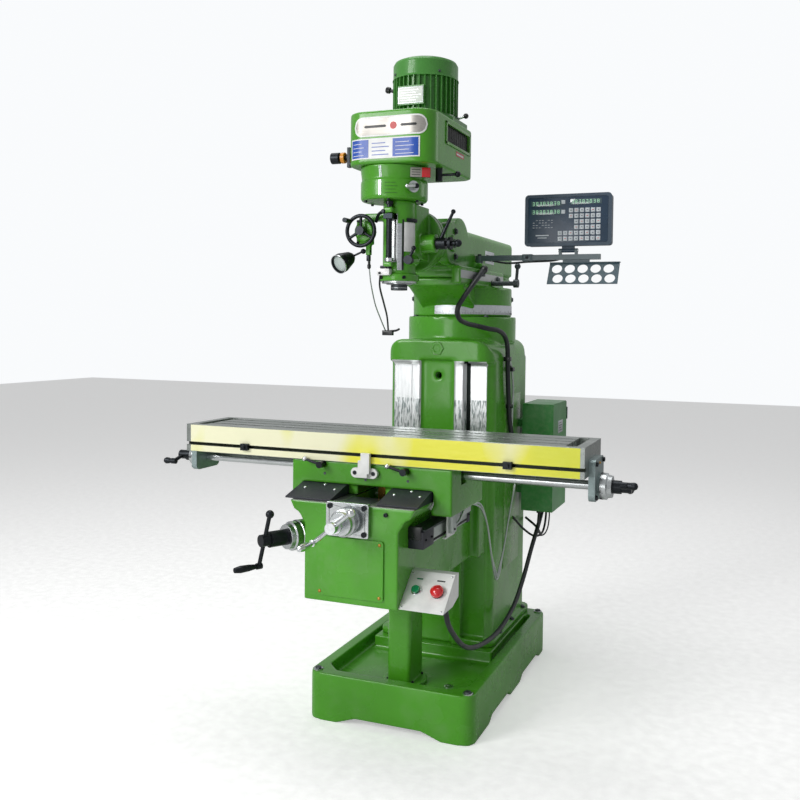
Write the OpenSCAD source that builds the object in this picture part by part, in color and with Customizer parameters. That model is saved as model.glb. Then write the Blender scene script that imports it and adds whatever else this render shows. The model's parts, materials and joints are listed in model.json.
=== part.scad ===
// Vertical turret milling machine, full size, in millimetres.
// Origin: floor level, centre of the base. +Z up, operator at -Y, +X to the operator's right.

/* [Base] */
// Width of the base casting
base_w = 604; // [590:2:620]
// Depth of the base casting
base_d = 990; // [980:2:1000]
// Height of the base casting
base_h = 165; // [160:1:170]
// Width of the rim around the coolant tray
base_rim = 45; // [40:1:48]
// Depth of the coolant tray below the rim
tray_depth = 45; // [38:1:48]
// Radius of the base's upright corners
base_corner_r = 45; // [35:1:50]
// Radius of each anchor-bolt hole
anchor_r = 9; // [7:0.5:10]
// Distance between the anchor holes, side to side
anchor_dx = 550; // [544:1:552]
// Distance between the anchor holes, front to back
anchor_dy = 930; // [924:1:932]

/* [Column] */
// Half width of the column body
col_hw = 212; // [205:1:215]
// Top of the column's ground ways
way_top = 1236; // [1220:1:1238]
// Radius of the ring on which the turret sits
ring_r = 216; // [210:1:225]
// Top of the ring
ring_top = 1405; // [1400:1:1410]

/* [Knee and saddle] */
// Half width of the knee body
knee_hw = 157; // [154:1:160]
// Lower face of the knee
knee_bot = 518; // [512:1:522]
// Top face of the knee's ways
knee_top = 824; // [823:1:825]
// Half width of the saddle
saddle_hw = 277; // [270:1:285]
// Thread radius of the cross-feed screw
cross_r = 12.5; // [11:0.5:13]

/* [Table] */
// Length of the table
table_len = 1370; // [1320:10:1400]
// Width of the table
table_wid = 254; // [250:1:258]
// Height of the table's top face
table_top = 1023; // [1020:1:1026]
// Width of each T-slot's neck
slot_w = 16; // [14:1:18]
// Distance between T-slots
slot_pitch = 64; // [60:1:66]

/* [Head] */
// Radius of the quill
quill_r = 43; // [41:0.5:44]
// Travel of the quill
quill_travel = 127; // [120:1:130]
// Bore of the spindle nose that grips the collet
collet_bore_r = 12.065; // [12.065:0.001:12.07]
// Radius of the motor's fan cover
motor_r = 121; // [115:1:124]

/* [Hidden] */
$fn = 72;
gap = 0.15;          // clearance of a sliding face
run = 0.05;          // radial clearance of a running shaft
paint = "#4f9a34";
steel = "#c9ccd0";
dark = "#22262a";

// Floor of the coolant tray and the elevating screw's axis
tray_z = base_h - tray_depth;
screw_y = -337;
screw_r = 16;
pedestal_top = 560;

// Column
col_front = -14;
col_back = 480;
way_y = -50;         // front face of the dovetail
flat_y = -20;        // face of the flats beside it
way_hw = 190;
tail_hw = 108;
tail_root = 91;
foot_top = base_h + 25;
turret_y = 235;
spigot_r = 150;

// Knee
knee_front = -790;
crank_z = 700;       // height of the elevating crank's shaft
crank_angle = -28;   // direction of that shaft, turned from -Y towards -X
cross_z = 778;       // height of the cross-feed screw

// Saddle and table
saddle_front = -655;
saddle_back = -340;
table_y = -537.5;
table_bot = table_top - 92;
lead_z = 895;        // height of the table's feed screw
lead_r = 14;

// Turret and ram
ram_hw = 98;
ram_bot = 1584;
ram_top = 1730;
pivot_y = -170;      // axis on which the ram adapter nods
pivot_z = 1665;
rack_z = 1548;       // lower face of the ram's dovetail
ram_pinion_y = 150;
ram_pinion_z = rack_z - 13;

// Head
spindle_y = -430;
tilt_face = -290;    // joint face between the ram adapter and the head
flange_r = 108;
quill_gear_y = spindle_y + quill_r + 14.2;
quill_gear_z = 1647;
motor_y = -205;
pulley_c = motor_y - spindle_y;

// ---- Helpers -------------------------------------------------------------

// Box between two opposite corners
module span(lo, hi) {
    translate(lo) cube(hi - lo);
}

// Cylinders along the three axes, from coordinate a to coordinate b
module cyl_x(r, a, b, y, z) {
    translate([a, y, z]) rotate([0, 90, 0]) cylinder(r = r, h = b - a);
}

module cyl_y(r, a, b, x, z) {
    translate([x, b, z]) rotate([90, 0, 0]) cylinder(r = r, h = b - a);
}

module cyl_z(r, a, b, x, y) {
    translate([x, y, a]) cylinder(r = r, h = b - a);
}

// Prism along X of a section drawn in [y, z]
module prism_x(x0, x1) {
    translate([x0, 0, 0]) rotate([90, 0, 90]) linear_extrude(x1 - x0) children();
}

// Prism along Y of a section drawn in [x, z]
module prism_y(y0, y1) {
    translate([0, y1, 0]) rotate([90, 0, 0]) linear_extrude(y1 - y0) children();
}

// Rectangle centred on the origin with round corners
module round_rect(w, d, r) {
    square([w - 2 * r, d], center = true);
    square([w, d - 2 * r], center = true);
    for (sx = [-1, 1], sy = [-1, 1])
        translate([sx * (w / 2 - r), sy * (d / 2 - r)]) circle(r = r);
}

// Upright plate with round corners, between two heights, centred on [x, y]
module round_plate(w, d, r, z0, z1, x = 0, y = 0) {
    translate([x, y, z0]) linear_extrude(z1 - z0) round_rect(w, d, r);
}

// Arch section: half width w at the foot z0, round shoulders of radius r at z1
module arch(w, z0, z1, r) {
    translate([-w, z0]) square([2 * w, z1 - r - z0]);
    translate([-(w - r), z1 - r]) square([2 * (w - r), r]);
    for (s = [-1, 1]) translate([s * (w - r), z1 - r]) circle(r = r);
}

// Dovetail section: half width top and bottom, between two heights
module dovetail(low_hw, high_hw, z0, z1) {
    polygon([[-low_hw, z0], [low_hw, z0], [high_hw, z1], [-high_hw, z1]]);
}

// Frame of the elevating crank: local z runs outward along its shaft, local y is up
module on_crank() {
    translate([0, screw_y, crank_z]) rotate([90, 0, crank_angle]) children();
}

// Bevel gear blank with its apex at the origin and its body below
module bevel(r_out, half_angle, face, bore) {
    z_out = -r_out / tan(half_angle);
    z_in = z_out + face * cos(half_angle);
    r_in = r_out - face * sin(half_angle);
    rotate_extrude() polygon([
        [bore, z_out - 8], [r_out - 4, z_out - 8], [r_out, z_out], [r_in, z_in], [bore, z_in]
    ]);
}

// Two-armed crank: local z outward, hub from 0 and its collar behind it;
// one arm holds a grip, the other a ball
module crank(bore, hub_r, arm, grip, collar_r, collar_h) {
    arm_z = 16;
    difference() {
        union() {
            translate([0, 0, -collar_h]) cylinder(r = collar_r, h = collar_h);
            cylinder(r = hub_r, h = 30);
            translate([-arm, 0, arm_z]) rotate([0, 90, 0]) cylinder(r = 6.5, h = 2 * arm);
            translate([arm, 0, arm_z - 9]) cylinder(r = 10, h = 18);
            translate([-arm, 0, arm_z]) rotate([0, 0, 180]) sphere(r = 13);
            translate([arm, 0, arm_z + 9]) rotate_extrude() polygon([
                [0, 0], [7, 0], [10.5, grip * 0.35], [11.5, grip * 0.7], [8, grip - 3], [0, grip]
            ]);
        }
        translate([0, 0, -collar_h - 1]) cylinder(r = bore, h = collar_h + 25);
    }
}

// Graduated dial: local z outward from 0
module dial(r, bore, h) {
    rotate_extrude() polygon([
        [bore, 0], [r, 0], [r, h * 0.55], [r - 5, h * 0.62], [r - 7, h], [bore, h]
    ]);
}

// Lever of length arm along local x with a ball end, its boss along local z from 0 to boss_h
module lever(boss_r, boss_h, arm, rod_r, ball_r) {
    cylinder(r = boss_r, h = boss_h);
    translate([0, 0, boss_h / 2]) rotate([0, 90, 0]) cylinder(r = rod_r, h = arm);
    translate([arm, 0, boss_h / 2]) sphere(r = ball_r);
}

// ---- Stand ---------------------------------------------------------------

seat_hw = col_hw + 24;
seat_front = -75;

module base_outline(inset, r) {
    round_rect(base_w - 2 * inset, base_d - 2 * inset, r);
}

// Feet stay at the corners and half way along each side
module foot_arches() {
    prism_y(-base_d, base_d) polygon([[-190, -1], [190, -1], [123, 22], [-123, 22]]);
    prism_x(-base_w, base_w) {
        polygon([[-300, -1], [-30, -1], [-62, 20], [-262, 20]]);
        polygon([[100, -1], [400, -1], [360, 20], [140, 20]]);
    }
}

module base() {
    wall = 20;
    pad_reach = 100;
    color(paint) difference() {
        linear_extrude(base_h) base_outline(0, base_corner_r);
        difference() {
            translate([0, 0, tray_z]) linear_extrude(base_h) base_outline(base_rim, 22);
            span([-seat_hw, seat_front, 0], [seat_hw, base_d, base_h]);
            for (s = [-1, 1], t = [-1, 1])
                translate([s * base_w / 2, t * base_d / 2, 0]) rotate([0, 0, 45])
                    span([-pad_reach, -pad_reach, 0], [pad_reach, pad_reach, base_h]);
        }
        difference() {
            translate([0, 0, -1]) linear_extrude(tray_z - wall) base_outline(wall, 28);
            for (s = [-1, 1], t = [-1, 1])
                cyl_z(30, 0, tray_z, s * anchor_dx / 2, t * anchor_dy / 2);
        }
        span([-seat_hw + wall, 20, tray_z - wall - 2], [seat_hw - wall, 430, base_h - wall]);
        foot_arches();
        for (s = [-1, 1], t = [-1, 1])
            cyl_z(anchor_r, -1, base_h + 1, s * anchor_dx / 2, t * anchor_dy / 2);
    }
}

module column_body() {
    depth = col_back - col_front;
    mid_y = (col_back + col_front) / 2;
    round_plate(2 * seat_hw - 8, depth + 48, 40, base_h, foot_top, 0, mid_y - 4);
    round_plate(2 * col_hw, depth, 40, foot_top, 1246, 0, mid_y);
    span([-way_hw, flat_y, foot_top], [way_hw, 40, way_top]);
    linear_extrude(way_top)
        polygon([[-tail_root, flat_y + 1], [-tail_hw, way_y], [tail_hw, way_y], [tail_root, flat_y + 1]]);
    intersection() {
        prism_y(way_y - 4, col_back + 1) arch(col_hw, 1240, 1316, 70);
        round_plate(2 * col_hw, col_back - way_y + 4, 60, 1230, 1320, 0, (col_back + way_y - 4) / 2);
    }
    cyl_z(ring_r, 1302, ring_top, 0, turret_y);
}

module column() {
    color(paint) difference() {
        column_body();
        span([-col_hw + 24, 14, base_h - 1], [col_hw - 24, col_back - 24, 1280]);
        cyl_z(spigot_r, 1279, ring_top + 1, 0, turret_y);
        span([-66, way_y - 1, 0], [66, way_y + 12, way_top + 1]);
        linear_extrude(base_h) square(1200, center = true);
        cyl_y(13, way_y, 20, 0, 1180);
    }
}

module pedestal() {
    color(paint) difference() {
        union() {
            round_plate(86, 125, 14, tray_z, pedestal_top, 0, screw_y);
            cyl_z(78, tray_z, tray_z + 14, 0, screw_y);
        }
        cyl_z(24, tray_z - 1, pedestal_top + 1, 0, screw_y);
    }
}

module elevating_nut() {
    color("#b08d3c") difference() {
        union() {
            cyl_z(24 - run, pedestal_top - 50, pedestal_top, 0, screw_y);
            cyl_z(38, pedestal_top, pedestal_top + 12, 0, screw_y);
        }
        cyl_z(screw_r + run, pedestal_top - 51, pedestal_top + 13, 0, screw_y);
    }
}

cab_lo = [240, 300, 624];
cab_hi = [365, 540, 1055];

module cabinet() {
    wall = [3, 3, 3];
    color("#5f9a4a") {
        difference() {
            span(cab_lo, cab_hi);
            span(cab_lo + wall, [cab_hi[0] + 1, cab_hi[1] - 3, cab_hi[2] - 3]);
            for (y = [360, 420, 480]) cyl_z(11, cab_lo[2] - 1, cab_lo[2] + 5, 300, y);
        }
        for (z = [690, 960])
            span([col_hw, 330, z], [cab_lo[0], 430, z + 30]);
    }
}

module cabinet_door() {
    color("#5f9a4a") {
        span([cab_hi[0] + 0.2, cab_lo[1], cab_lo[2]], [cab_hi[0] + 3, cab_hi[1] - 1, cab_hi[2]]);
        cyl_x(11, cab_hi[0] + 3, cab_hi[0] + 12, cab_lo[1] + 30, 840);
    }
}

// ---- Knee ----------------------------------------------------------------

flange_hw = 210;
trough_hw = 50;
trough_z = 740;

// Body, undercut flange and sloping shoulders, as seen from the front
module knee_section() {
    polygon([
        [-knee_hw, knee_bot], [knee_hw, knee_bot], [knee_hw, 752], [178, 786],
        [flange_hw - 14, 796], [flange_hw, knee_top], [-flange_hw, knee_top],
        [-flange_hw + 14, 796], [-178, 786], [-knee_hw, 752]
    ]);
}

// The column's dovetail with room for the gib on its right
module knee_way_cut() {
    grow = gap;
    gib_room = 12;
    translate([0, 0, knee_bot - 1]) linear_extrude(knee_top - knee_bot + 2) polygon([
        [-tail_root - grow, flat_y + 1], [-tail_hw - grow, way_y - grow],
        [tail_hw + grow + gib_room, way_y - grow], [tail_root + grow + gib_room, flat_y + 1]
    ]);
}

module knee() {
    wall = 20;
    rear = flat_y - gap;
    color(paint) difference() {
        union() {
            prism_y(knee_front, rear) knee_section();
            span([-way_hw, -105, knee_bot], [way_hw, rear, knee_top]);
            on_crank() translate([0, 0, 300]) cylinder(r = 48, h = 155);
        }
        // cross-feed trough, side pockets and the hollow that clears the pedestal
        span([-trough_hw, knee_front - 1, trough_z], [trough_hw, -95, knee_top + 1]);
        for (s = [-1, 1])
            translate([s * 102, 0, 0]) span([-36, knee_front + wall, knee_bot - 1], [36, -115, 800]);
        span([-138, knee_front + wall, knee_bot - 1], [138, -115, trough_z - wall]);
        span([-95, knee_front - 1, 560], [95, knee_front + wall + 1, 700]);
        // elevating screw's top bearing and the crank shaft's bore
        cyl_z(12 + run, trough_z - 32, trough_z - 6, 0, screw_y);
        on_crank() translate([0, 0, 250]) cylinder(r = 14 + run, h = 210);
        // pocket in the trough's floor for the bevel pinion
        on_crank() translate([0, 0, 34]) cylinder(r = 30, h = 32);
        knee_way_cut();
    }
    color(paint) difference() {
        cyl_z(28, trough_z - 28, trough_z - wall, 0, screw_y);
        cyl_z(12 + run, trough_z - 30, trough_z - 6, 0, screw_y);
    }
}

module knee_cover() {
    color(paint) prism_y(knee_front - 6, knee_front - 0.05)
        translate([0, 631]) round_rect(224, 182, 8);
}

module knee_gib() {
    thick = 11.7;
    root_y = flat_y - 0.5;
    // the dovetail's flank at the height of the gib's narrow edge
    root_x = tail_root + (tail_hw - tail_root) * (flat_y + 1 - root_y) / (flat_y + 1 - way_y) + gap;
    color(steel) translate([0, 0, knee_bot + 4]) linear_extrude(knee_top - knee_bot - 8) polygon([
        [root_x, root_y], [tail_hw + gap, way_y], [tail_hw + gap + thick, way_y], [root_x + thick, root_y]
    ]);
}

module cross_bracket() {
    color(steel) difference() {
        union() {
            prism_y(knee_front - 16, knee_front - 0.05)
                translate([-4, 780]) round_rect(142, 104, 6);
            cyl_y(36, knee_front - 34, knee_front - 16, 0, cross_z);
            cyl_y(30, knee_front - 0.1, knee_front + 24, 0, cross_z);
        }
        cyl_y(12 + run, knee_front - 35, knee_front + 25, 0, cross_z);
        for (s = [-1, 1], t = [-1, 1])
            cyl_y(5.5, knee_front - 17, knee_front, -4 + s * 57, 780 + t * 40);
    }
}

// Push-button station on the knee's right side; its face slopes back and up
face_low = [-783, 522];
face_high = [-675, 614];
face_tilt = atan2(face_high[1] - face_low[1], face_high[0] - face_low[0]);
face_len = norm(face_high - face_low);
box_x0 = knee_hw + 0.2;
box_x1 = 300;

// Frame on the station's face: local x across, local y up the slope, local z out of the face
module on_face(x, up) {
    translate([x, face_low[0], face_low[1]]) rotate([face_tilt, 0, 0]) translate([0, up, 0]) children();
}

module button_box() {
    color("white") difference() {
        prism_x(box_x0, box_x1) polygon([face_low, face_high, [-645, 614], [-645, 540], [-700, 522]]);
        prism_x(box_x0 + 4, box_x1 - 4) polygon([[-772, 526], [-675, 608], [-650, 608], [-650, 542], [-702, 526]]);
        for (x = [193, 262])
            on_face(x, face_len / 2) translate([0, 0, -12]) cylinder(r = 8 + 0.3, h = 20);
    }
}

// Push button: shank through the face, head standing above it by its travel
module push_button(x, head_r, head_h, mushroom) {
    travel_room = 6;
    on_face(x, face_len / 2) {
        translate([0, 0, -14]) cylinder(r = 8, h = 14 + travel_room);
        translate([0, 0, travel_room]) cylinder(r = head_r, h = head_h);
        if (mushroom) translate([0, 0, travel_room + head_h]) rotate_extrude()
            intersection() {
                translate([0, -14]) circle(r = head_r + 3);
                square([head_r, head_r]);
            }
    }
}

module start_button() {
    color("green") push_button(193, 12, 6, false);
}

module stop_button() {
    color("red") push_button(262, 20, 8, true);
}

// ---- Elevating drive -----------------------------------------------------

gear_half = atan(2);

module elevating_screw() {
    color(steel) {
        cyl_z(screw_r, base_h, 654, 0, screw_y);
        cyl_z(12, 650, trough_z - 8, 0, screw_y);
        translate([0, screw_y, crank_z - 0.4])
            bevel(56, gear_half, 22, 11.9);
    }
}

module knee_crank_shaft() {
    color(steel) on_crank() {
        translate([0, 0, 52]) cylinder(r = 14, h = 520);
        translate([0, 0, 0.4]) rotate([180, 0, 0]) bevel(27, 90 - gear_half, 20, 5);
        translate([0, 0, 38]) cylinder(r = 5.5, h = 15);
    }
}

module knee_dial() {
    color(steel) on_crank() translate([0, 0, 455.4]) dial(46, 14.02, 40);
}

module knee_crank() {
    color(dark) on_crank() translate([0, 0, 556]) rotate([0, 0, 250])
        crank(14.02, 19, 92, 80, 25, 60);
}

// ---- Saddle --------------------------------------------------------------

wing_in = 214;
wing_bot = 783;

module saddle_section() {
    polygon([
        [-saddle_hw, wing_bot], [-wing_in + 14, wing_bot], [-flange_hw + 14 - gap - 0.5, 796],
        [-flange_hw - gap - 0.5, knee_top + gap], [flange_hw + 11, knee_top + gap],
        [flange_hw - 14 + 11, 796], [wing_in - 2, wing_bot], [saddle_hw, wing_bot],
        [saddle_hw, table_bot - gap], [-saddle_hw, table_bot - gap]
    ]);
}

module saddle() {
    tail_lo = 48;
    tail_hi = 62;
    lead_room = 25;
    color(paint) difference() {
        union() {
            prism_y(saddle_front, saddle_back) saddle_section();
            prism_x(-saddle_hw, saddle_hw) translate([table_y, 0])
                dovetail(tail_lo, tail_hi, table_bot - 1, table_bot + 24);
        }
        // tunnel for the cross-feed nut, channel for the table's screw, front recess for the wipers
        span([-48, saddle_front - 1, knee_top - 1], [48, saddle_back + 1, 858]);
        span([-saddle_hw - 1, table_y - lead_room, lead_z - 27], [saddle_hw + 1, table_y + lead_room, table_bot + 30]);
        span([-240, saddle_front - 1, knee_top - 1], [216, saddle_front + 16, 858]);
        for (s = [-1, 1])
            cyl_y(9 + run, saddle_front - 1, saddle_front + 30, s * 145 - 18.5, 917 - s * 2.5);
        // pockets that lighten the wings' bodies
        for (s = [-1, 1])
            span([s * 150 - 70, -470, 856], [s * 150 + 70, saddle_back - 20, table_bot - 20]);
    }
}

module saddle_gibs() {
    color(steel) prism_y(saddle_front + 20, saddle_back - 5) polygon([
        [flange_hw - 14 + gap + 0.4, 796.5], [flange_hw + gap + 0.2, knee_top], [flange_hw + 10.4, knee_top],
        [flange_hw - 14 + 10.6, 796.5]
    ]);
    color(steel) prism_x(-saddle_hw + 10, saddle_hw - 10) translate([table_y, 0]) polygon([
        [-48 - 11.1, table_bot + 0.3], [-48 - 1, table_bot + 0.3],
        [-62 - 0.2, table_bot + 23.8], [-62 - 10.3, table_bot + 23.8]
    ]);
}

// Rubber way covers that slope from the saddle down onto the knee's ways
module way_wipers() {
    color(dark) for (x = [[-236, -78], [78, 212]]) {
        prism_x(x[0], x[1]) polygon([
            [saddle_front - 118, knee_top + 0.3], [saddle_front - 118, knee_top + 5],
            [saddle_front - 6, 857], [saddle_front + 14, 857], [saddle_front + 14, knee_top + 4],
            [saddle_front - 10, knee_top + 1]
        ]);
    }
}

module stop_bracket() {
    color("white") difference() {
        union() {
            prism_y(saddle_front - 14, saddle_front - 0.05) translate([-13, 901]) round_rect(92, 32, 15.9);
            span([-29, saddle_front - 26, 888], [3, saddle_front - 14, 942]);
            span([-20, saddle_front - 26, 900], [10, saddle_front - 12, 966]);
        }
        for (s = [-1, 1]) cyl_y(6, saddle_front - 30, saddle_front + 1, -13 + s * 32, 901);
    }
}

module feed_nuts() {
    color("#b08d3c") {
        difference() {
            span([-30, -520, 752], [30, -450, 858]);
            cyl_y(cross_r + run, -521, -449, 0, cross_z);
        }
        difference() {
            span([-40, table_y - 24, lead_z - 27], [40, table_y + 24, lead_z + 26]);
            cyl_x(lead_r + run, -41, 41, table_y, lead_z);
        }
    }
}

// Table clamp: shank in the saddle's front, lever pointing up and to the left
module table_lock(x, z) {
    color(dark) {
        cyl_y(9, saddle_front - 12, saddle_front + 28, x, z);
        translate([x, saddle_front - 12, z]) rotate([90, 0, 0]) rotate([0, 0, 165])
            lever(11, 20, 58, 4.5, 8);
    }
}

module table_lock_left() {
    table_lock(-163.5, 919.5);
}

module table_lock_right() {
    table_lock(126.5, 914.5);
}

// ---- Cross-feed drive ----------------------------------------------------

dial_y = knee_front - 34.4;

module cross_screw() {
    color(steel) {
        cyl_y(cross_r, knee_front + 26, -200, 0, cross_z);
        cyl_y(12, -920, knee_front + 26, 0, cross_z);
    }
}

module cross_dial() {
    color(steel) translate([0, dial_y, cross_z]) rotate([90, 0, 0]) dial(42, 12.02, 38);
}

module cross_crank() {
    color(steel) translate([0, dial_y - 72.2, cross_z]) rotate([90, 0, 0]) rotate([0, 0, 219])
        crank(12.02, 17, 78, 80, 21, 34);
}

// ---- Table ---------------------------------------------------------------

table_front = table_y - table_wid / 2;
table_hl = table_len / 2;

// T-slot section centred on y = 0, open at the table's top
module tee_slot() {
    translate([-slot_w / 2, table_top - 22]) square([slot_w, 23]);
    translate([-14, table_top - 32]) square([28, 11]);
}

module table() {
    tail_lo = 48 + 0.5;
    tail_hi = 62 + 1.1;
    trough_x = table_hl - 62;
    color(steel) difference() {
        span([-table_hl, table_front, table_bot], [table_hl, table_front + table_wid, table_top]);
        for (i = [-1 : 1])
            prism_x(-trough_x - 1, trough_x + 1) translate([table_y + i * slot_pitch, 0]) tee_slot();
        // coolant troughs at both ends
        for (s = [-1, 1])
            round_plate(34, table_wid - 44, 12, table_top - 20, table_top + 1, s * (trough_x + 17), table_y);
        // dovetail groove, wider at the front for the gib
        prism_x(-table_hl - 1, table_hl + 1) translate([table_y, 0]) polygon([
            [-tail_lo - 10.3, table_bot - 1], [tail_lo, table_bot - 1],
            [tail_hi, table_bot + 25], [-tail_hi - 10.3, table_bot + 25]
        ]);
        // groove along the front face that holds the stop dogs
        prism_x(-table_hl - 1, table_hl + 1) {
            translate([table_front - 1, table_bot + 22]) square([8, 10]);
            translate([table_front + 6, table_bot + 19]) square([7, 16]);
        }
        // hollows between the underside's ribs
        for (x = [-560 : 160 : 560], y = [table_front + 42, table_front + table_wid - 42])
            translate([x, y, 0]) span([-68, -22, table_bot - 1], [68, 22, table_top - 48]);
    }
}

module table_brackets() {
    color("#55595c") for (s = [-1, 1]) mirror([s < 0 ? 1 : 0, 0, 0]) difference() {
        union() {
            translate([table_hl + 0.1, 0, 0]) prism_x(0, 20) translate([table_y, 918]) round_rect(140, 126, 20);
            cyl_x(40, table_hl + 20, table_hl + 26, table_y, lead_z);
        }
        cyl_x(12 + run, table_hl - 1, table_hl + 27, table_y, lead_z);
    }
}

module dog(x) {
    color("#2e3133") {
        prism_x(x - 14, x + 14) translate([table_front, 0]) {
            translate([-13, table_bot + 16]) square([12.8, 22]);
            translate([-1, table_bot + 22.3]) square([8, 9.4]);
            translate([6.3, table_bot + 19.4]) square([6, 15.2]);
        }
        translate([x, table_front - 13, table_bot + 27]) rotate([90, 0, 0]) cylinder(r = 6.5, h = 7, $fn = 6);
    }
}

module dog_left() {
    dog(-450);
}

module dog_right() {
    dog(457);
}

module table_screw() {
    color(steel) {
        cyl_x(lead_r, -table_hl + 2, table_hl - 2, table_y, lead_z);
        cyl_x(12, -table_hl - 100, table_hl + 100, table_y, lead_z);
    }
}

module at_table_end(s, out) {
    translate([s * (table_hl + out), table_y, lead_z]) rotate([0, s * 90, 0]) children();
}

module table_dials() {
    color(steel) for (s = [-1, 1]) at_table_end(s, 26.4) dial(40, 12.02, 34);
}

module table_cranks() {
    color(dark) for (s = [-1, 1]) at_table_end(s, 86.6) rotate([0, 0, 255])
        crank(12.02, 16, 62, 32, 20, 26);
}

// ---- Turret and ram ------------------------------------------------------

arm_front = -227;
arm_back = 309;
guide_top = ram_bot - 0.1;

module turret() {
    fork_hw = 113;
    fork_back = -92;
    color(paint) difference() {
        union() {
            cyl_z(spigot_r - run, 1340, ring_top + 0.2, 0, turret_y);
            cyl_z(198, ring_top + 0.2, 1520, 0, turret_y);
            span([-150, arm_front, 1519], [150, arm_back, guide_top]);
            prism_x(-110, 110) polygon([[fork_back, 1520], [60, 1520], [60, 1440]]);
        }
        cyl_z(120, 1339, 1492, 0, turret_y);
        prism_y(arm_front - 1, arm_back + 1)
            dovetail(95 + gap, 75 + gap, rack_z - gap, guide_top + 0.2);
        span([-fork_hw, arm_front - 1, 1500], [fork_hw, fork_back, guide_top + 1]);
        // pocket and bore of the ram's pinion
        span([-22, ram_pinion_y - 20, ram_pinion_z - 14], [22, ram_pinion_y + 20, rack_z + 1]);
        cyl_x(9 + run, 0, 151, ram_pinion_y, ram_pinion_z);
    }
}

module ram_pinion() {
    color(dark) {
        cyl_x(12.7, -20, 20, ram_pinion_y, ram_pinion_z);
        cyl_x(9, 19, 244, ram_pinion_y, ram_pinion_z);
        // short enough to pass under the readout's arm
        translate([238, ram_pinion_y, ram_pinion_z]) rotate([0, 90, 0]) rotate([0, 0, 165])
            lever(16, 18, 70, 6, 12);
    }
}

module ram_outer() {
    intersection() {
        prism_y(-100, 660) arch(ram_hw, ram_bot + 0.05, ram_top, 30);
        round_plate(2 * ram_hw, 860, 60, 1500, 1800, 0, 230);
    }
    prism_y(-90, 640) dovetail(95, 75, rack_z + 0.05, ram_bot + 0.1);
    // raised front and the two cheeks that hold the adapter
    intersection() {
        cyl_x(101, -ram_hw, ram_hw, -82, pivot_z);
        span([-ram_hw, -300, ram_bot + 0.05], [ram_hw, 100, 1800]);
    }
    cyl_x(78, -ram_hw, ram_hw, pivot_y, pivot_z);
    // lug for the readout arm
    span([ram_hw - 1, 78, 1590], [130, 122, 1612]);
}

module ram() {
    color(paint) difference() {
        ram_outer();
        span([-60, -300, 1500], [60, -97, 1800]);
        span([-78, -60, 1604], [78, 640, 1708]);
        cyl_y(45, 630, 670, 0, 1657);
        cyl_x(20 + run, -110, 110, pivot_y, pivot_z);
        cyl_z(8 + run, 1589, 1613, 113, 100);
    }
}

module ram_adapter() {
    cheek = 60 - 0.2;
    color(paint) {
        cyl_x(70, -cheek, cheek, pivot_y, pivot_z);
        cyl_x(20, -104, 104, pivot_y, pivot_z);
        span([-cheek, -266, 1605], [cheek, pivot_y, 1725]);
        cyl_y(flange_r, tilt_face, -264, 0, pivot_z);
        cyl_y(40, tilt_face - 26, tilt_face, 0, pivot_z);
    }
}

// ---- Head ----------------------------------------------------------------

wheel_x = -109;
wheel_z = 1683;
rod_x = -8;
rod_y = -500;
tube_r = 56;         // casting round the quill
tube_top = 1783;
lock_x = 58;
lock_z = 1585;
lamp_x = -106;
lamp_y = -465;
lamp_z = 1618;
gear_x = -20;        // centre of the gear housing
gear_y = -432;
housing_bot = 1895;
housing_top = 2068;

module head() {
    color(paint) difference() {
        union() {
            cyl_y(flange_r, tilt_face - 28, tilt_face - 0.2, 0, pivot_z);
            cyl_z(tube_r, 1516, tube_top, 0, spindle_y);
            cyl_z(68, 1516, 1540, 0, spindle_y);
            span([-60, spindle_y, 1592], [60, tilt_face - 20, tube_top - 8]);
            // feed gear case on the left with its neck, and the lamp's post below it
            span([-138, -478, 1640], [-84, -450, 1724]);
            cyl_y(34, -486, -450, wheel_x, wheel_z);
            span([-112, -470, 1720], [-30, -425, 1744]);
            span([lamp_x, lamp_y - 9, 1604], [lamp_x + 16, lamp_y + 9, 1641]);
            // bosses of the quill lock and of the quill's pinion on the right
            cyl_y(14, -478, -420, lock_x, lock_z);
            cyl_x(32, 40, 112, quill_gear_y, quill_gear_z);
            // lugs that carry the depth rod
            span([rod_x - 15, rod_y - 15, 1740], [rod_x + 15, spindle_y, 1758]);
            span([rod_x - 15, rod_y - 15, 1562], [rod_x + 15, spindle_y, 1578]);
        }
        cyl_z(quill_r + run, 1500, tube_top + 1, 0, spindle_y);
        cyl_y(40 + run, tilt_face - 28.5, tilt_face, 0, pivot_z);
        cyl_z(9 + run, 1561, 1759, rod_x, rod_y);
        cyl_x(12 + run, 0, 113, quill_gear_y, quill_gear_z);
        cyl_x(15, -40, 40.5, quill_gear_y, quill_gear_z);
        cyl_y(10 + run, -487, -450, wheel_x, wheel_z);
        // window in front of the quill for the stop's arm
        span([rod_x - 22, rod_y - 30, 1578.5], [rod_x + 22, spindle_y, 1739.5]);
        cyl_y(7 + run, -479, -462, lock_x, lock_z);
        cyl_x(5 + run, lamp_x - 1, lamp_x + 17, lamp_y, lamp_z);
    }
}

// Frame of the feed selector: local z runs outward from the gear housing's centre
module on_selector() {
    translate([gear_x, gear_y, 1820]) rotate([0, 0, -39]) rotate([90, 0, 90]) children();
}

module gear_housing() {
    color(paint) difference() {
        translate([gear_x, gear_y, 0]) rotate_extrude() polygon([
            [0, tube_top + 0.2], [108, tube_top + 0.2], [113, tube_top + 8], [113, 1846], [109, 1849],
            [115, housing_bot - 0.1], [0, housing_bot - 0.1]
        ]);
        cyl_z(34, tube_top - 1, housing_bot, 0, spindle_y);
        cyl_z(95, tube_top + 14, 1884, gear_x, gear_y);
        on_selector() cylinder(r = 9 + run, h = 140);
    }
}

belt_front = -548;
belt_back = -105;
shift_z = 1917;      // pivot of the speed lever
brake_x = 128;
brake_y = -400;

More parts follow.
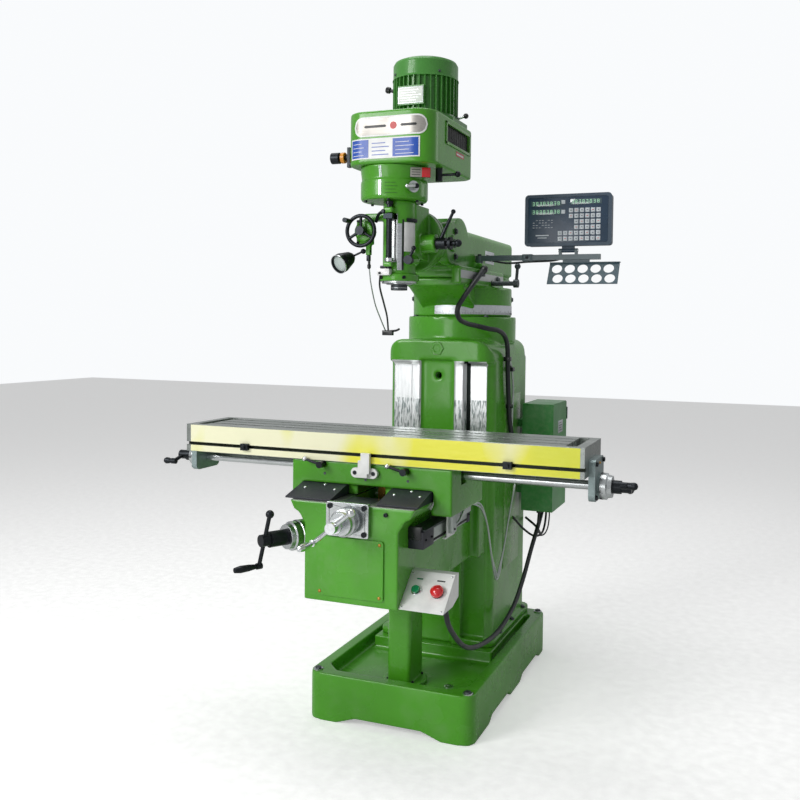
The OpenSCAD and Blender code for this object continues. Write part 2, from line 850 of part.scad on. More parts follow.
module belt_outline(inset) {
    hw = 155 - inset;
    front = belt_front + inset;
    back = belt_back - inset;
    r = 70 - inset;
    translate([-hw, front + r]) square([2 * hw, back - 50 - front - r]);
    translate([-(hw - r), front]) square([2 * (hw - r), r]);
    translate([-(hw - 50), back - 51]) square([2 * (hw - 50), 51]);
    for (s = [-1, 1]) {
        translate([s * (hw - r), front + r]) circle(r = r);
        translate([s * (hw - 50), back - 50]) circle(r = 50);
    }
}

module belt_housing() {
    color(paint) difference() {
        translate([0, 0, housing_bot]) linear_extrude(housing_top - housing_bot) belt_outline(0);
        translate([0, 0, housing_bot + 10]) linear_extrude(housing_top - housing_bot - 20) belt_outline(9);
        cyl_z(33, housing_bot - 1, housing_top + 1, 0, spindle_y);
        // slot for the motor's shaft, long enough for belt tensioning
        hull_slot(0, motor_y, 62, 40);
        // side windows over the belt
        span([-200, -405, 1983], [200, -172, 2041]);
        // pin holes of the brake and speed levers
        cyl_z(7 + run, housing_bot - 1, housing_bot + 11, brake_x, brake_y);
        cyl_x(9 + run, -160, -140, -450, shift_z);
    }
}

// Slot through the housing's top, rounded at both ends
module hull_slot(x, y, r, travel) {
    z0 = housing_top - 11;
    for (d = [0, -travel]) cyl_z(r, z0, housing_top + 1, x, y + d);
    span([x - r, y - travel, z0], [x + r, y, housing_top + 1]);
}

// Step pulleys: four belt grooves, radii falling by one step each
steps = 4;
step_h = 30;
step_fall = 12;
big_r = 78;
pulley_z = 1926;
belt_step = 2;

module step_pulley(rising) {
    for (i = [0 : steps - 1]) {
        r = big_r - step_fall * (rising ? steps - 1 - i : i);
        translate([0, 0, pulley_z + i * step_h]) rotate_extrude() polygon([
            [0, 0], [r, 0], [r, 5], [r - 9, 9], [r - 9, 21], [r, 25], [r, step_h], [0, step_h]
        ]);
    }
}

// Outline around two round ends of radii r1 (at the origin) and r2 (at distance c along y)
module belt_loop(r1, r2, c) {
    lean = asin((r1 - r2) / c);
    circle(r = r1);
    translate([0, c]) circle(r = r2);
    polygon([
        [r1 * cos(lean), r1 * sin(lean)], [r2 * cos(lean), c + r2 * sin(lean)],
        [-r2 * cos(lean), c + r2 * sin(lean)], [-r1 * cos(lean), r1 * sin(lean)]
    ]);
}

module drive_belt() {
    r_spindle = big_r - step_fall * (steps - 1 - belt_step) - 9 + 0.4;
    r_motor = big_r - step_fall * belt_step - 9 + 0.4;
    thick = 7;
    color(dark) translate([0, spindle_y, pulley_z + belt_step * step_h + 10]) linear_extrude(10)
        difference() {
            belt_loop(r_spindle + thick, r_motor + thick, pulley_c);
            belt_loop(r_spindle, r_motor, pulley_c);
        }
}

module spindle_pulley() {
    color("#8c9094") difference() {
        translate([0, spindle_y, 0]) step_pulley(true);
        cyl_z(20 + run, pulley_z - 1, pulley_z + steps * step_h + 1, 0, spindle_y);
    }
}

module motor_pulley() {
    color("#8c9094") {
        translate([0, motor_y, 0]) step_pulley(false);
        cyl_z(14, pulley_z + steps * step_h - 1, 2150, 0, motor_y);
    }
}

module motor() {
    plate_z = housing_top + 0.2;
    fins = 36;
    body_r = 104;
    cover_z = 2238;
    color(paint) difference() {
        union() {
            round_plate(270, 216, 45, plate_z, 2092, 0, motor_y);
            cyl_z(112, 2091, 2112, 0, motor_y);
            translate([0, motor_y, 2112]) linear_extrude(cover_z - 2112) {
                circle(r = body_r);
                for (i = [0 : fins - 1])
                    rotate(i * 360 / fins) translate([body_r - 4, -1.6]) square([motor_r - body_r, 3.2]);
            }
            translate([0, motor_y, cover_z]) rotate_extrude() polygon([
                [0, 0], [motor_r - 2, 0], [motor_r - 5, 8], [motor_r - 5, 52], [motor_r - 11, 63],
                [motor_r - 25, 69], [0, 69]
            ]);
            span([-56, motor_y - 122, 2134], [40, motor_y - 90, 2200]);
        }
        cyl_z(14 + run, plate_z - 1, 2152, 0, motor_y);
        cyl_z(60, plate_z - 1, 2092, 0, motor_y);
        cyl_z(84, 2153, 2215, 0, motor_y);
    }
}

module depth_rod() {
    color(dark) {
        cyl_z(9, 1556, 1768, rod_x, rod_y);
        cyl_z(13, 1768, 1778, rod_x, rod_y);
    }
}

module depth_nut() {
    color(steel) difference() {
        cyl_z(15, 1579, 1591, rod_x, rod_y);
        cyl_z(9 + run, 1578, 1592, rod_x, rod_y);
    }
}

// ---- Quill and spindle ---------------------------------------------------

quill_bot = 1506;
quill_high = 1777;

module quill() {
    color(steel) difference() {
        union() {
            cyl_z(quill_r, quill_bot, quill_high, 0, spindle_y);
            // stop arm that rides down to the depth nut
            span([rod_x - 16, rod_y - 14, 1720], [rod_x + 16, spindle_y - quill_r + 6, 1737]);
        }
        cyl_z(26, quill_bot - 1, quill_high + 1, 0, spindle_y);
        cyl_z(10.5, 1719, 1738, rod_x, rod_y);
        // rack gaps along the back
        for (i = [0 : 26])
            span([-16, spindle_y + quill_r - 4, 1518 + i * 9.42], [16, spindle_y + quill_r + 2, 1518 + i * 9.42 + 5]);
    }
}

module spindle() {
    color(steel) difference() {
        union() {
            cyl_z(26 - run, quill_bot - 0.5, quill_high - 1, 0, spindle_y);
            cyl_z(28, 1487, quill_bot - 0.4, 0, spindle_y);
            cyl_z(20, quill_high - 2, 2062, 0, spindle_y);
        }
        // collet seat: a taper at the mouth, then the parallel bore
        translate([0, spindle_y, 1481]) cylinder(r1 = 15.9, r2 = collet_bore_r, h = 26);
        cyl_z(collet_bore_r, 1506.9, 1572, 0, spindle_y);
        cyl_z(7, 1571, 2063, 0, spindle_y);
    }
}

module drawbar() {
    color(dark) {
        cyl_z(6.8, 1580, 2064, 0, spindle_y);
        translate([0, spindle_y, 2062.3]) cylinder(r = 13, h = 22, $fn = 6);
    }
}

// ---- Controls on the head ------------------------------------------------

module quill_handle() {
    pinion_r = 13.6;
    color(dark) {
        cyl_x(pinion_r, -18, 18, quill_gear_y, quill_gear_z);
        cyl_x(12, 17, 116, quill_gear_y, quill_gear_z);
        cyl_x(20, 112.4, 146, quill_gear_y, quill_gear_z);
        cyl_x(9, 145, 188, quill_gear_y, quill_gear_z);
        cyl_x(22, 157, 166, quill_gear_y, quill_gear_z);
        translate([189, quill_gear_y, quill_gear_z]) sphere(r = 13);
        translate([119, quill_gear_y, quill_gear_z]) rotate([0, 26, 0]) {
            cylinder(r1 = 7, r2 = 5, h = 118);
            translate([0, 0, 118]) rotate([90, 0, 0]) sphere(r = 8);
        }
    }
}

module feed_wheel() {
    rim_r = 50;
    hub_y = -506;
    color(dark) translate([wheel_x, hub_y, wheel_z]) rotate([90, 0, 0]) {
        rotate_extrude() translate([rim_r, 0]) circle(r = 6.5);
        translate([0, 0, -12]) cylinder(r = 15, h = 24);
        translate([0, 0, -50]) cylinder(r = 10, h = 40);
        for (i = [0 : 2])
            rotate([0, 0, 90 + i * 120]) rotate([0, 90, 0]) cylinder(r = 5, h = rim_r);
        rotate([0, 0, 140]) translate([rim_r, 0, 0]) {
            cylinder(r = 5, h = 12);
            translate([0, 0, 12]) cylinder(r = 8, h = 34);
        }
    }
}

module quill_lock() {
    color(dark) {
        cyl_y(7, -490, -463, lock_x, lock_z);
        translate([lock_x, -480, lock_z]) rotate([90, 0, 0]) rotate([0, 0, 65]) lever(15, 18, 42, 5, 8);
    }
}

module brake_lever() {
    color(dark) {
        cyl_z(7, housing_bot - 6, housing_bot + 9, brake_x, brake_y);
        translate([brake_x, brake_y, housing_bot - 44.2]) lever(12, 44, 66, 4.5, 10);
    }
}

module speed_lever() {
    color(dark) {
        cyl_x(9, -176, -147, -450, shift_z);
        span([-186, -458, shift_z - 12], [-176, -442, shift_z + 56]);
        cyl_x(7, -218, -186, -450, shift_z + 22);
        cyl_x(19, -246, -217, -450, shift_z + 22);
    }
}

module feed_selector() {
    color(steel) on_selector() {
        translate([0, 0, 97]) cylinder(r = 9, h = 24);
        translate([0, 0, 121]) cylinder(r = 19, h = 14);
        translate([0, 0, 135]) cylinder(r = 11, h = 16);
    }
}

// Small spotlight on a thin stem, shining forward, down and to the left
module work_lamp() {
    ball_x = lamp_x - 12;
    stem = 44;
    color(dark) {
        cyl_x(5, ball_x, lamp_x + 15, lamp_y, lamp_z);
        translate([ball_x, lamp_y, lamp_z]) rotate([0, 0, 90]) sphere(r = 9);
        translate([ball_x, lamp_y, lamp_z]) rotate([0, 114, -173]) {
            cylinder(r = 3.5, h = stem);
            translate([0, 0, stem]) rotate([0, -114, 0]) rotate([0, 0, 173]) rotate([0, 115.5, -109.4])
                rotate_extrude() polygon([
                    [0, 0], [14, 0], [22, 12], [33, 52], [33, 70], [30, 70], [30, 56], [10, 30], [0, 30]
                ]);
        }
    }
}

// ---- Digital readout -----------------------------------------------------

tilt_z = 1655;

module dro_arm() {
    color("#8d9398") {
        cyl_z(8, 1592, 1613, 113, 100);
        cyl_z(14, 1612.2, 1640, 113, 100);
        span([113, 90, 1620], [580, 110, 1640]);
        for (x = [425, 485]) {
            span([x, 93, 1639], [x + 10, 107, tilt_z]);
            cyl_x(7.5, x, x + 10, 100, tilt_z);
        }
        cyl_x(6, 430, 490, 100, tilt_z);
    }
}

module dro_console() {
    color("#3c4a5c") difference() {
        union() {
            prism_y(76, 124) translate([461, 1766]) round_rect(318, 188, 12);
            prism_y(72, 76.1) translate([461, 1766]) round_rect(324, 192, 14);
            span([437, 92, 1661], [483, 108, 1675]);
            cyl_x(8, 437, 483, 100, tilt_z);
        }
        cyl_x(6 + run, 430, 490, 100, tilt_z);
        // recess for the panel and the two displays
        prism_y(71, 74) translate([461, 1766]) round_rect(300, 170, 8);
    }
}

module tool_tray() {
    pitch = 48;
    color("#4a5560") {
        translate([522, 100, 1608]) rotate([238, 0, 0]) difference() {
            span([-130, 0, -3], [130, 96, 0]);
            for (i = [-2 : 2], j = [0, 1])
                translate([i * pitch + (j - 0.5) * 8, 28 + j * 44, -4]) cylinder(r = 19, h = 6);
        }
        span([392, 90, 1608], [652, 118, 1611]);
        span([440, 96, 1610.9], [540, 104, 1620]);
    }
}

base();
column();
pedestal();
elevating_nut();
cabinet();
cabinet_door();
knee();
knee_cover();
knee_gib();
cross_bracket();
button_box();
elevating_screw();
knee_crank_shaft();
knee_dial();
knee_crank();
start_button();
stop_button();
saddle();
saddle_gibs();
way_wipers();
stop_bracket();
feed_nuts();
table_lock_left();
table_lock_right();
cross_screw();
cross_dial();
cross_crank();
table();
table_brackets();
dog_left();
dog_right();
table_screw();
table_dials();
table_cranks();
turret();
ram_pinion();
ram();
ram_adapter();
head();
gear_housing();
belt_housing();
drive_belt();
depth_rod();
depth_nut();
motor();
motor_pulley();
spindle_pulley();
quill();
spindle();
drawbar();
quill_handle();
feed_wheel();
quill_lock();
brake_lever();
speed_lever();
feed_selector();
work_lamp();
dro_arm();
dro_console();
tool_tray();
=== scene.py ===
"""Looks of the vertical turret milling machine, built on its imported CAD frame.

Everything is in metres in the CAD frame: +Z up, the operator at -Y, +X to the operator's right.
"""

import json
import math
from itertools import product

import bmesh
import bpy
from mathutils import Matrix, Vector, noise

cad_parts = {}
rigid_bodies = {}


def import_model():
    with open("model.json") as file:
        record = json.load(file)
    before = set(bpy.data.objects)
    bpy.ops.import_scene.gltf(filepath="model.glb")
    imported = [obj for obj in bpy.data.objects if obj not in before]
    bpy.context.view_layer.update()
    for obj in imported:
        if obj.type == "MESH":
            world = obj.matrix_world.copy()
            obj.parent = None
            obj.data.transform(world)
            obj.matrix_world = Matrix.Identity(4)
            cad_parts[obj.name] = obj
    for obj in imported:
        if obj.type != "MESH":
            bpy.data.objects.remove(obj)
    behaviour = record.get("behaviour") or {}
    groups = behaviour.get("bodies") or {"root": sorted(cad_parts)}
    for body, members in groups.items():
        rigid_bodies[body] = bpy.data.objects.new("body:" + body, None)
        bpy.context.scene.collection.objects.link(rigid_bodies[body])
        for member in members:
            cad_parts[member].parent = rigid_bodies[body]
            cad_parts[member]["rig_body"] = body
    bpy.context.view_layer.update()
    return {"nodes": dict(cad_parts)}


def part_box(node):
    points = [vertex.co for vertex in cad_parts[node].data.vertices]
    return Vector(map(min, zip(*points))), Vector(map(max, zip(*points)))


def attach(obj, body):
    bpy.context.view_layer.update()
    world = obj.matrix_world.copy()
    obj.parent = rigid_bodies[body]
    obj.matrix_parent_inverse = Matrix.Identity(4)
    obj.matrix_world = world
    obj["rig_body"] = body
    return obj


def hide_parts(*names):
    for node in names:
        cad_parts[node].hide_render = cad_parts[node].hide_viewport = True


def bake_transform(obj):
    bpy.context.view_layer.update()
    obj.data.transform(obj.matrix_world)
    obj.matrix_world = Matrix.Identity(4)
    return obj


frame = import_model()
NODES = frame["nodes"]
X = Vector((1, 0, 0))
Y = Vector((0, 1, 0))
Z = Vector((0, 0, 1))


def low(node):
    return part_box(node)[0]


def high(node):
    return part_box(node)[1]


def polar(degrees, axis=Z):
    """Unit vector at an angle round an axis, measured from +X, or from +Y round the X axis."""
    c = math.cos(math.radians(degrees))
    s = math.sin(math.radians(degrees))
    if axis == X:
        return Vector((0, c, s))
    if axis == Y:
        return Vector((c, 0, s))
    return Vector((c, s, 0))


def facing(degrees):
    """Level direction at an angle from straight out of the machine's front, to the right."""
    return polar(degrees - 90)


def around(centre, radius, count, first=0.0, axis=Z):
    """Evenly spaced points round a centre, each with its outward direction."""
    for k in range(count):
        out = polar(first + 360 * k / count, axis)
        yield Vector(centre) + radius * out, out


# Axes and centres of the machine
KNEE_CRANK = Vector((0, -0.337, 0.7))
KNEE_CRANK_OUT = facing(-28)
TABLE_MIDDLE = -0.5375
TURRET = Vector((0, 0.235, 0))
NOD = Vector((0, -0.17, 1.665))
GEARS = Vector((-0.02, -0.432, 0))
SPINDLE = Vector((0, -0.43, 0))
MOTOR = Vector((0, -0.205, 0))


# ---- Materials ------------------------------------------------------------


def linear(code):
    """Linear RGBA of a hex colour as it looks on screen."""
    parts = [int(code[i : i + 2], 16) / 255 for i in (0, 2, 4)]
    return tuple(((c + 0.055) / 1.055) ** 2.4 if c > 0.04 else c / 12.92 for c in parts) + (1.0,)


def shade(colour, factor):
    return tuple(c * factor for c in colour[:3]) + (1.0,)


class Nodes:
    """A node tree built by short calls."""

    def __init__(self, tree):
        self.tree = tree

    def node(self, kind, inputs=None, **settings):
        made = self.tree.nodes.new(kind)
        for key, value in settings.items():
            setattr(made, key, value)
        for key, value in (inputs or {}).items():
            self.feed(made.inputs[key], value)
        return made

    def feed(self, socket, value):
        if isinstance(value, bpy.types.NodeSocket):
            self.tree.links.new(value, socket)
        else:
            socket.default_value = value

    def math(self, operation, *values):
        return self.node("ShaderNodeMath", dict(enumerate(values)), operation=operation).outputs[0]

    def vector_math(self, operation, *values):
        return self.node("ShaderNodeVectorMath", dict(enumerate(values)), operation=operation).outputs[0]

    def times(self, a, b):
        return self.math("MULTIPLY", a, b)


class Shader(Nodes):
    """A material; its textures use the CAD frame's own coordinates."""

    def __init__(self, name, **values):
        self.material = bpy.data.materials.new(name)
        self.material.use_nodes = True
        super().__init__(self.material.node_tree)
        self.out = self.tree.nodes["Principled BSDF"]
        self.coords = self.node("ShaderNodeTexCoord").outputs["Object"]
        self.last_bump = None
        for key, value in values.items():
            self.set(key.replace("_", " "), value)

    def set(self, name, value):
        self.feed(self.out.inputs[name], value)

    def current(self, name):
        """What feeds an input of the surface so far."""
        return self.out.inputs[name].links[0].from_socket

    def paint(self, mask, code):
        """Lays a colour over the surface where mask is 1."""
        self.set("Base Color", self.mix(mask, self.current("Base Color"), linear(code)))

    def noise(self, scale, detail=3.0, stretch=(1, 1, 1)):
        place = self.node("ShaderNodeMapping", {"Vector": self.coords, "Scale": stretch}).outputs[0]
        inputs = {"Vector": place, "Scale": scale, "Detail": detail}
        return self.node("ShaderNodeTexNoise", inputs).outputs["Fac"]

    def span(self, value, start, end, to=(0.0, 1.0)):
        """value from start..end mapped onto the range to, and clamped."""
        inputs = {"Value": value, "From Min": start, "From Max": end, "To Min": to[0], "To Max": to[1]}
        return self.node("ShaderNodeMapRange", inputs).outputs[0]

    def mix(self, factor, a, b):
        return self.node("ShaderNodeMix", {0: factor, 6: a, 7: b}, data_type="RGBA").outputs[2]

    def blend(self, factor, a, b):
        return self.node("ShaderNodeMix", {0: factor, 2: a, 3: b}).outputs[0]

    def edges(self):
        """1 on worn outer edges of a dense mesh."""
        point = self.node("ShaderNodeNewGeometry").outputs["Pointiness"]
        return self.span(point, 0.53, 0.6)

    def inside(self, lo, hi):
        """1 inside a box of the CAD frame."""
        lo, hi = Vector(lo), Vector(hi)
        offset = self.vector_math("SUBTRACT", self.coords, (lo + hi) / 2)
        share = self.vector_math("DIVIDE", offset, (hi - lo) / 2)
        size = self.vector_math("ABSOLUTE", share)
        axes = self.node("ShaderNodeSeparateXYZ", {0: size}).outputs
        largest = self.math("MAXIMUM", self.math("MAXIMUM", axes[0], axes[1]), axes[2])
        return self.math("LESS_THAN", largest, 1.0)

    def bump(self, height, distance, strength=1.0):
        inputs = {"Height": height, "Distance": distance, "Strength": strength}
        if self.last_bump:
            inputs["Normal"] = self.last_bump
        self.last_bump = self.node("ShaderNodeBump", inputs).outputs[0]
        self.set("Normal", self.last_bump)


def enamel(name, code, worn=0.5, rough=0.2):
    """Glossy machine enamel over a casting: uneven film, dust, worn edges."""
    s = Shader(name, Coat_Weight=0.25, Coat_Roughness=0.08, Specular_IOR_Level=0.35)
    colour = linear(code)
    s.set("Base Color", s.mix(s.span(s.noise(2.6, 4), 0.35, 0.65), shade(colour, 0.84), shade(colour, 1.08)))
    s.paint(s.span(s.noise(11, 6), 0.52, 0.8, (0.0, 0.12)), "a9b3a0")
    s.paint(s.times(s.edges(), s.span(s.noise(60, 5), 0.45, 0.62, (0.0, worn))), "b9c2a6")
    s.set("Roughness", s.span(s.noise(7, 5), 0.3, 0.75, (rough, rough + 0.17)))
    s.bump(s.noise(34, 3), 0.0011, 0.35)
    s.bump(s.noise(260, 2), 0.0003, 0.25)
    return s


def add_ground_metal(s, mask, code, stretch):
    """Turns the masked part of an enamel into ground metal."""
    grain = s.noise(190, 4, stretch)
    ground = s.mix(grain, shade(linear(code), 0.8), shade(linear(code), 1.12))
    s.set("Base Color", s.mix(mask, s.current("Base Color"), ground))
    s.set("Metallic", s.times(mask, 0.85))
    s.set("Roughness", s.blend(mask, s.current("Roughness"), s.span(grain, 0.2, 0.8, (0.26, 0.42))))
    s.set("Coat Weight", s.span(mask, 0.0, 1.0, (0.25, 0.0)))


def metal(name, code, rough=0.3, marks=170.0, stain=0.25, metallic=1.0, stretch=(1, 1, 1)):
    """Machined metal: tool marks along one direction, oil haze and faint stains."""
    s = Shader(name, Metallic=metallic)
    colour = linear(code)
    grain = s.noise(marks, 5, stretch)
    base = s.mix(s.span(grain, 0.3, 0.7), shade(colour, 0.86), shade(colour, 1.08))
    stained = s.span(s.noise(14, 6), 0.5, 0.8, (0.0, stain))
    s.set("Base Color", s.mix(stained, base, shade(colour, 0.5)))
    s.set("Roughness", s.span(s.noise(9, 5), 0.3, 0.7, (rough * 0.8, rough * 1.4)))
    s.bump(grain, 0.00025, 0.3)
    return s


def plain(name, code, rough=0.45, grain=300.0, depth=0.0002, **values):
    """Plastic, rubber or print: one colour with a fine moulded grain and faint smears."""
    s = Shader(name, **values)
    colour = linear(code)
    s.set("Base Color", s.mix(s.span(s.noise(25, 5), 0.35, 0.7), shade(colour, 0.9), shade(colour, 1.06)))
    s.set("Roughness", s.span(s.noise(18, 4), 0.3, 0.7, (rough * 0.85, rough * 1.2)))
    s.bump(s.noise(grain, 2), depth, 0.4)
    return s


GREEN = "4FA024"


def column_coat():
    """Enamel with ground ways in front, scraped oil pockets low on them and painted shade in the dovetail's
    undercut.
    """
    s = enamel("column_enamel", GREEN)
    recess = s.inside((-0.0665, -0.052, 0.1), (0.0665, -0.03, 1.24))
    ways = s.math("SUBTRACT", s.inside((-0.191, -0.06, 0.8), (0.191, -0.0194, 1.2365)), recess)
    add_ground_metal(s, ways, "DDDFE0", (1, 1, 0.06))
    slanted = {"Vector": s.coords, "Rotation": (0, 0.8, 0), "Scale": (1, 1, 0.2)}
    strokes = s.node("ShaderNodeMapping", slanted).outputs[0]
    pockets = s.node("ShaderNodeTexNoise", {"Vector": strokes, "Scale": 150, "Detail": 2}).outputs["Fac"]
    scraped_band = s.inside((-0.2, -0.062, 0.6), (0.2, 0.0, 1.09))
    scraped = s.times(s.times(ways, scraped_band), s.span(pockets, 0.46, 0.6))
    s.bump(scraped, 0.0004, 0.7)
    s.paint(s.times(scraped, 0.8), "61706F")
    # painted shade: a near-black band down the right flank of the dovetail, where its undercut lies in shadow
    s.paint(s.inside((0.108, -0.062, 0.8), (0.124, -0.0194, 1.2365)), "151B19")
    return s


def knee_coat():
    """Enamel with a ground top."""
    s = enamel("knee_enamel", GREEN)
    add_ground_metal(s, s.inside((-0.215, -0.8, 0.8225), (0.215, 0, 0.83)), "8E918F", (1, 0.08, 1))
    return s


def turret_coat():
    """Enamel with the ram guide's ground sides."""
    s = enamel("turret_enamel", GREEN)
    left = s.inside((-0.152, -0.24, 1.54), (-0.1485, 0.32, 1.568))
    right = s.inside((0.1485, -0.24, 1.54), (0.152, 0.32, 1.568))
    add_ground_metal(s, s.math("ADD", left, right), "B9BCBA", (1, 0.08, 1))
    return s


def film_coat():
    """Yellow protective film with pale patches, partly mottled film and partly a painted highlight strongest
    to the left.
    """
    s = Shader("yellow_film", Roughness=0.28, Coat_Weight=0.3)
    along = s.node("ShaderNodeSeparateXYZ", {0: s.coords}).outputs[0]
    # pale film and painted highlight: noise patches plus a rise to the left, towards the key light
    pale_film_and_highlight = s.math("ADD", s.noise(4.2, 2, (1, 0.15, 0.4)), s.span(along, -0.2, 0.35, (0.13, -0.04)))
    leafy = s.span(s.noise(3.1, 2, (1, 0.2, 0.6)), 0.52, 0.66, (0.0, 0.5))
    s.set("Base Color", s.mix(leafy, linear("F1EE42"), linear("C6D63C")))
    s.paint(s.span(pale_film_and_highlight, 0.48, 0.62), "F7F6D2")
    s.bump(s.noise(22, 4, (1, 1, 2.5)), 0.002, 0.4)
    return s


green = enamel("green_enamel", GREEN)
column_enamel = column_coat()
knee_enamel = knee_coat()
turret_enamel = turret_coat()
cabinet_enamel = enamel("cabinet_enamel", "3E9145", 0.1, 0.3)
motor_enamel = enamel("motor_enamel", "4A8F3C", 0.4, 0.22)
tray_grey = enamel("tray_grey", "4B616C", 0.1, 0.35)
arm_grey = enamel("arm_grey", "5E6E74", 0.1, 0.35)

table_steel = metal("table_steel", "9EA4A0", 0.28, 150, metallic=0.8, stretch=(0.05, 1, 1))
# painted shade: a near-black band in the dogs' groove along the table's front, where shadow falls
table_steel.paint(table_steel.inside((-0.71, -0.69, 0.9525), (0.71, -0.64, 0.9635)), "20261C")
ground_steel = metal("ground_steel", "B9BDBD", 0.26, 160, stretch=(1, 1, 0.07))
quill_steel = metal("quill_steel", "B9BDBD", 0.26, 160, stretch=(1, 1, 0.07))
# painted shade: the front of the quill inside the head, seen through its slot, is darkened
quill_steel.paint(quill_steel.inside((-0.06, -0.56, 1.57), (0.06, -0.4745, 1.76)), "2A2F33")
turned_steel = metal("turned_steel", "C6CACB", 0.22, 220)
chrome = metal("chrome", "DDE0E2", 0.14, 120, 0.1)
cast_steel = metal("cast_steel", "93A3A3", 0.36, 140, 0.3, 0.6)
black_steel = metal("black_steel", "23272B", 0.3, 200, 0.2, 0.7)
dark_iron = metal("dark_iron", "4E5456", 0.42, 120, 0.3, 0.8)
bronze = metal("bronze", "B68C45", 0.3)
aluminium = metal("aluminium", "C9CDD0", 0.32, 200, 0.1, stretch=(0.1, 1, 1))
armour = metal("armour", "B8C0BC", 0.38, 300, 0.2, 0.8)
brushed_plate = metal("brushed_plate", "B4B0AA", 0.4, 260, 0.15, 0.6, (0.08, 1, 1))

black_plastic = plain("black_plastic", "1B1D20", 0.28)
rubber = plain("rubber", "23242F", 0.5, 500, 0.0003)
cable_jacket = plain("cable_jacket", "1E2226", 0.45, 600)
white_enamel = plain("white_enamel", "F2F3F1", 0.2, 200, 0.0001, Coat_Weight=0.4)
white_print = plain("white_print", "F4F5F3", 0.4)
black_print = plain("black_print", "16181B", 0.4)
red_print = plain("red_print", "C93A3A", 0.35)
blue_print = plain("blue_print", "2B57B5", 0.3)
amber_plastic = plain("amber_plastic", "D98E2B", 0.3)
red_plastic = plain("red_plastic", "D8222A", 0.2, 200, 0.0001, Coat_Weight=0.5)
green_plastic = plain("green_plastic", "128A55", 0.2, 200, 0.0001, Coat_Weight=0.5)
slate = plain("slate_case", "35495B", 0.42, 420)
slate_face = plain("slate_face", "2C4258", 0.3, 420, 0.0001)
display_glass = plain("display_glass", "51686F", 0.12, 200, 0.00005, Coat_Weight=0.8)
display_glow = plain("display_glow", "B9E4C4", 0.4, Emission_Color=linear("9FE8B4"), Emission_Strength=0.4)
key_white = plain("key_white", "D5DCE2", 0.35)
lamp_glass = plain("lamp_glass", "B9C6C2", 0.12, 60, 0.0006, Coat_Weight=0.6)
# near-black for holes, slots and windows: painted shade standing in for their depth
opening_shade = plain("opening_shade", "0E1012", 0.7)
film = film_coat()


# ---- Mesh helpers ---------------------------------------------------------


def smooth_path(points, steps):
    """Catmull-Rom curve through the points."""
    p = [Vector(q) for q in points]
    p = [2 * p[0] - p[1]] + p + [2 * p[-1] - p[-2]]
    path = []
    for a, b, c, d in zip(p, p[1:], p[2:], p[3:]):
        for i in range(steps):
            t = i / steps
            bend = (2 * a - 5 * b + 4 * c - d) * t**2 + (3 * b - a - 3 * c + d) * t**3
            path.append(0.5 * (2 * b + (c - a) * t + bend))
    path.append(p[-2])
    return path


def upright(base, axis):
    """Matrix that stands the Z axis along axis, at base."""
    return Matrix.Translation(base) @ Vector(axis).to_track_quat("Z", "Y").to_matrix().to_4x4()


def join_rings(solid, rings, sides):
    """Faces between rings of vertices; a ring of one vertex is a tip."""
    for a, b in zip(rings, rings[1:]):
        for i in range(sides):
            j = (i + 1) % sides
            corners = list(dict.fromkeys([a[i % len(a)], a[j % len(a)], b[j % len(b)], b[i % len(b)]]))
            if len(corners) > 2:
                solid.faces.new(corners)


def add_object(name, data):
    made = bpy.data.objects.new(name, data)
    bpy.context.scene.collection.objects.link(made)
    return made


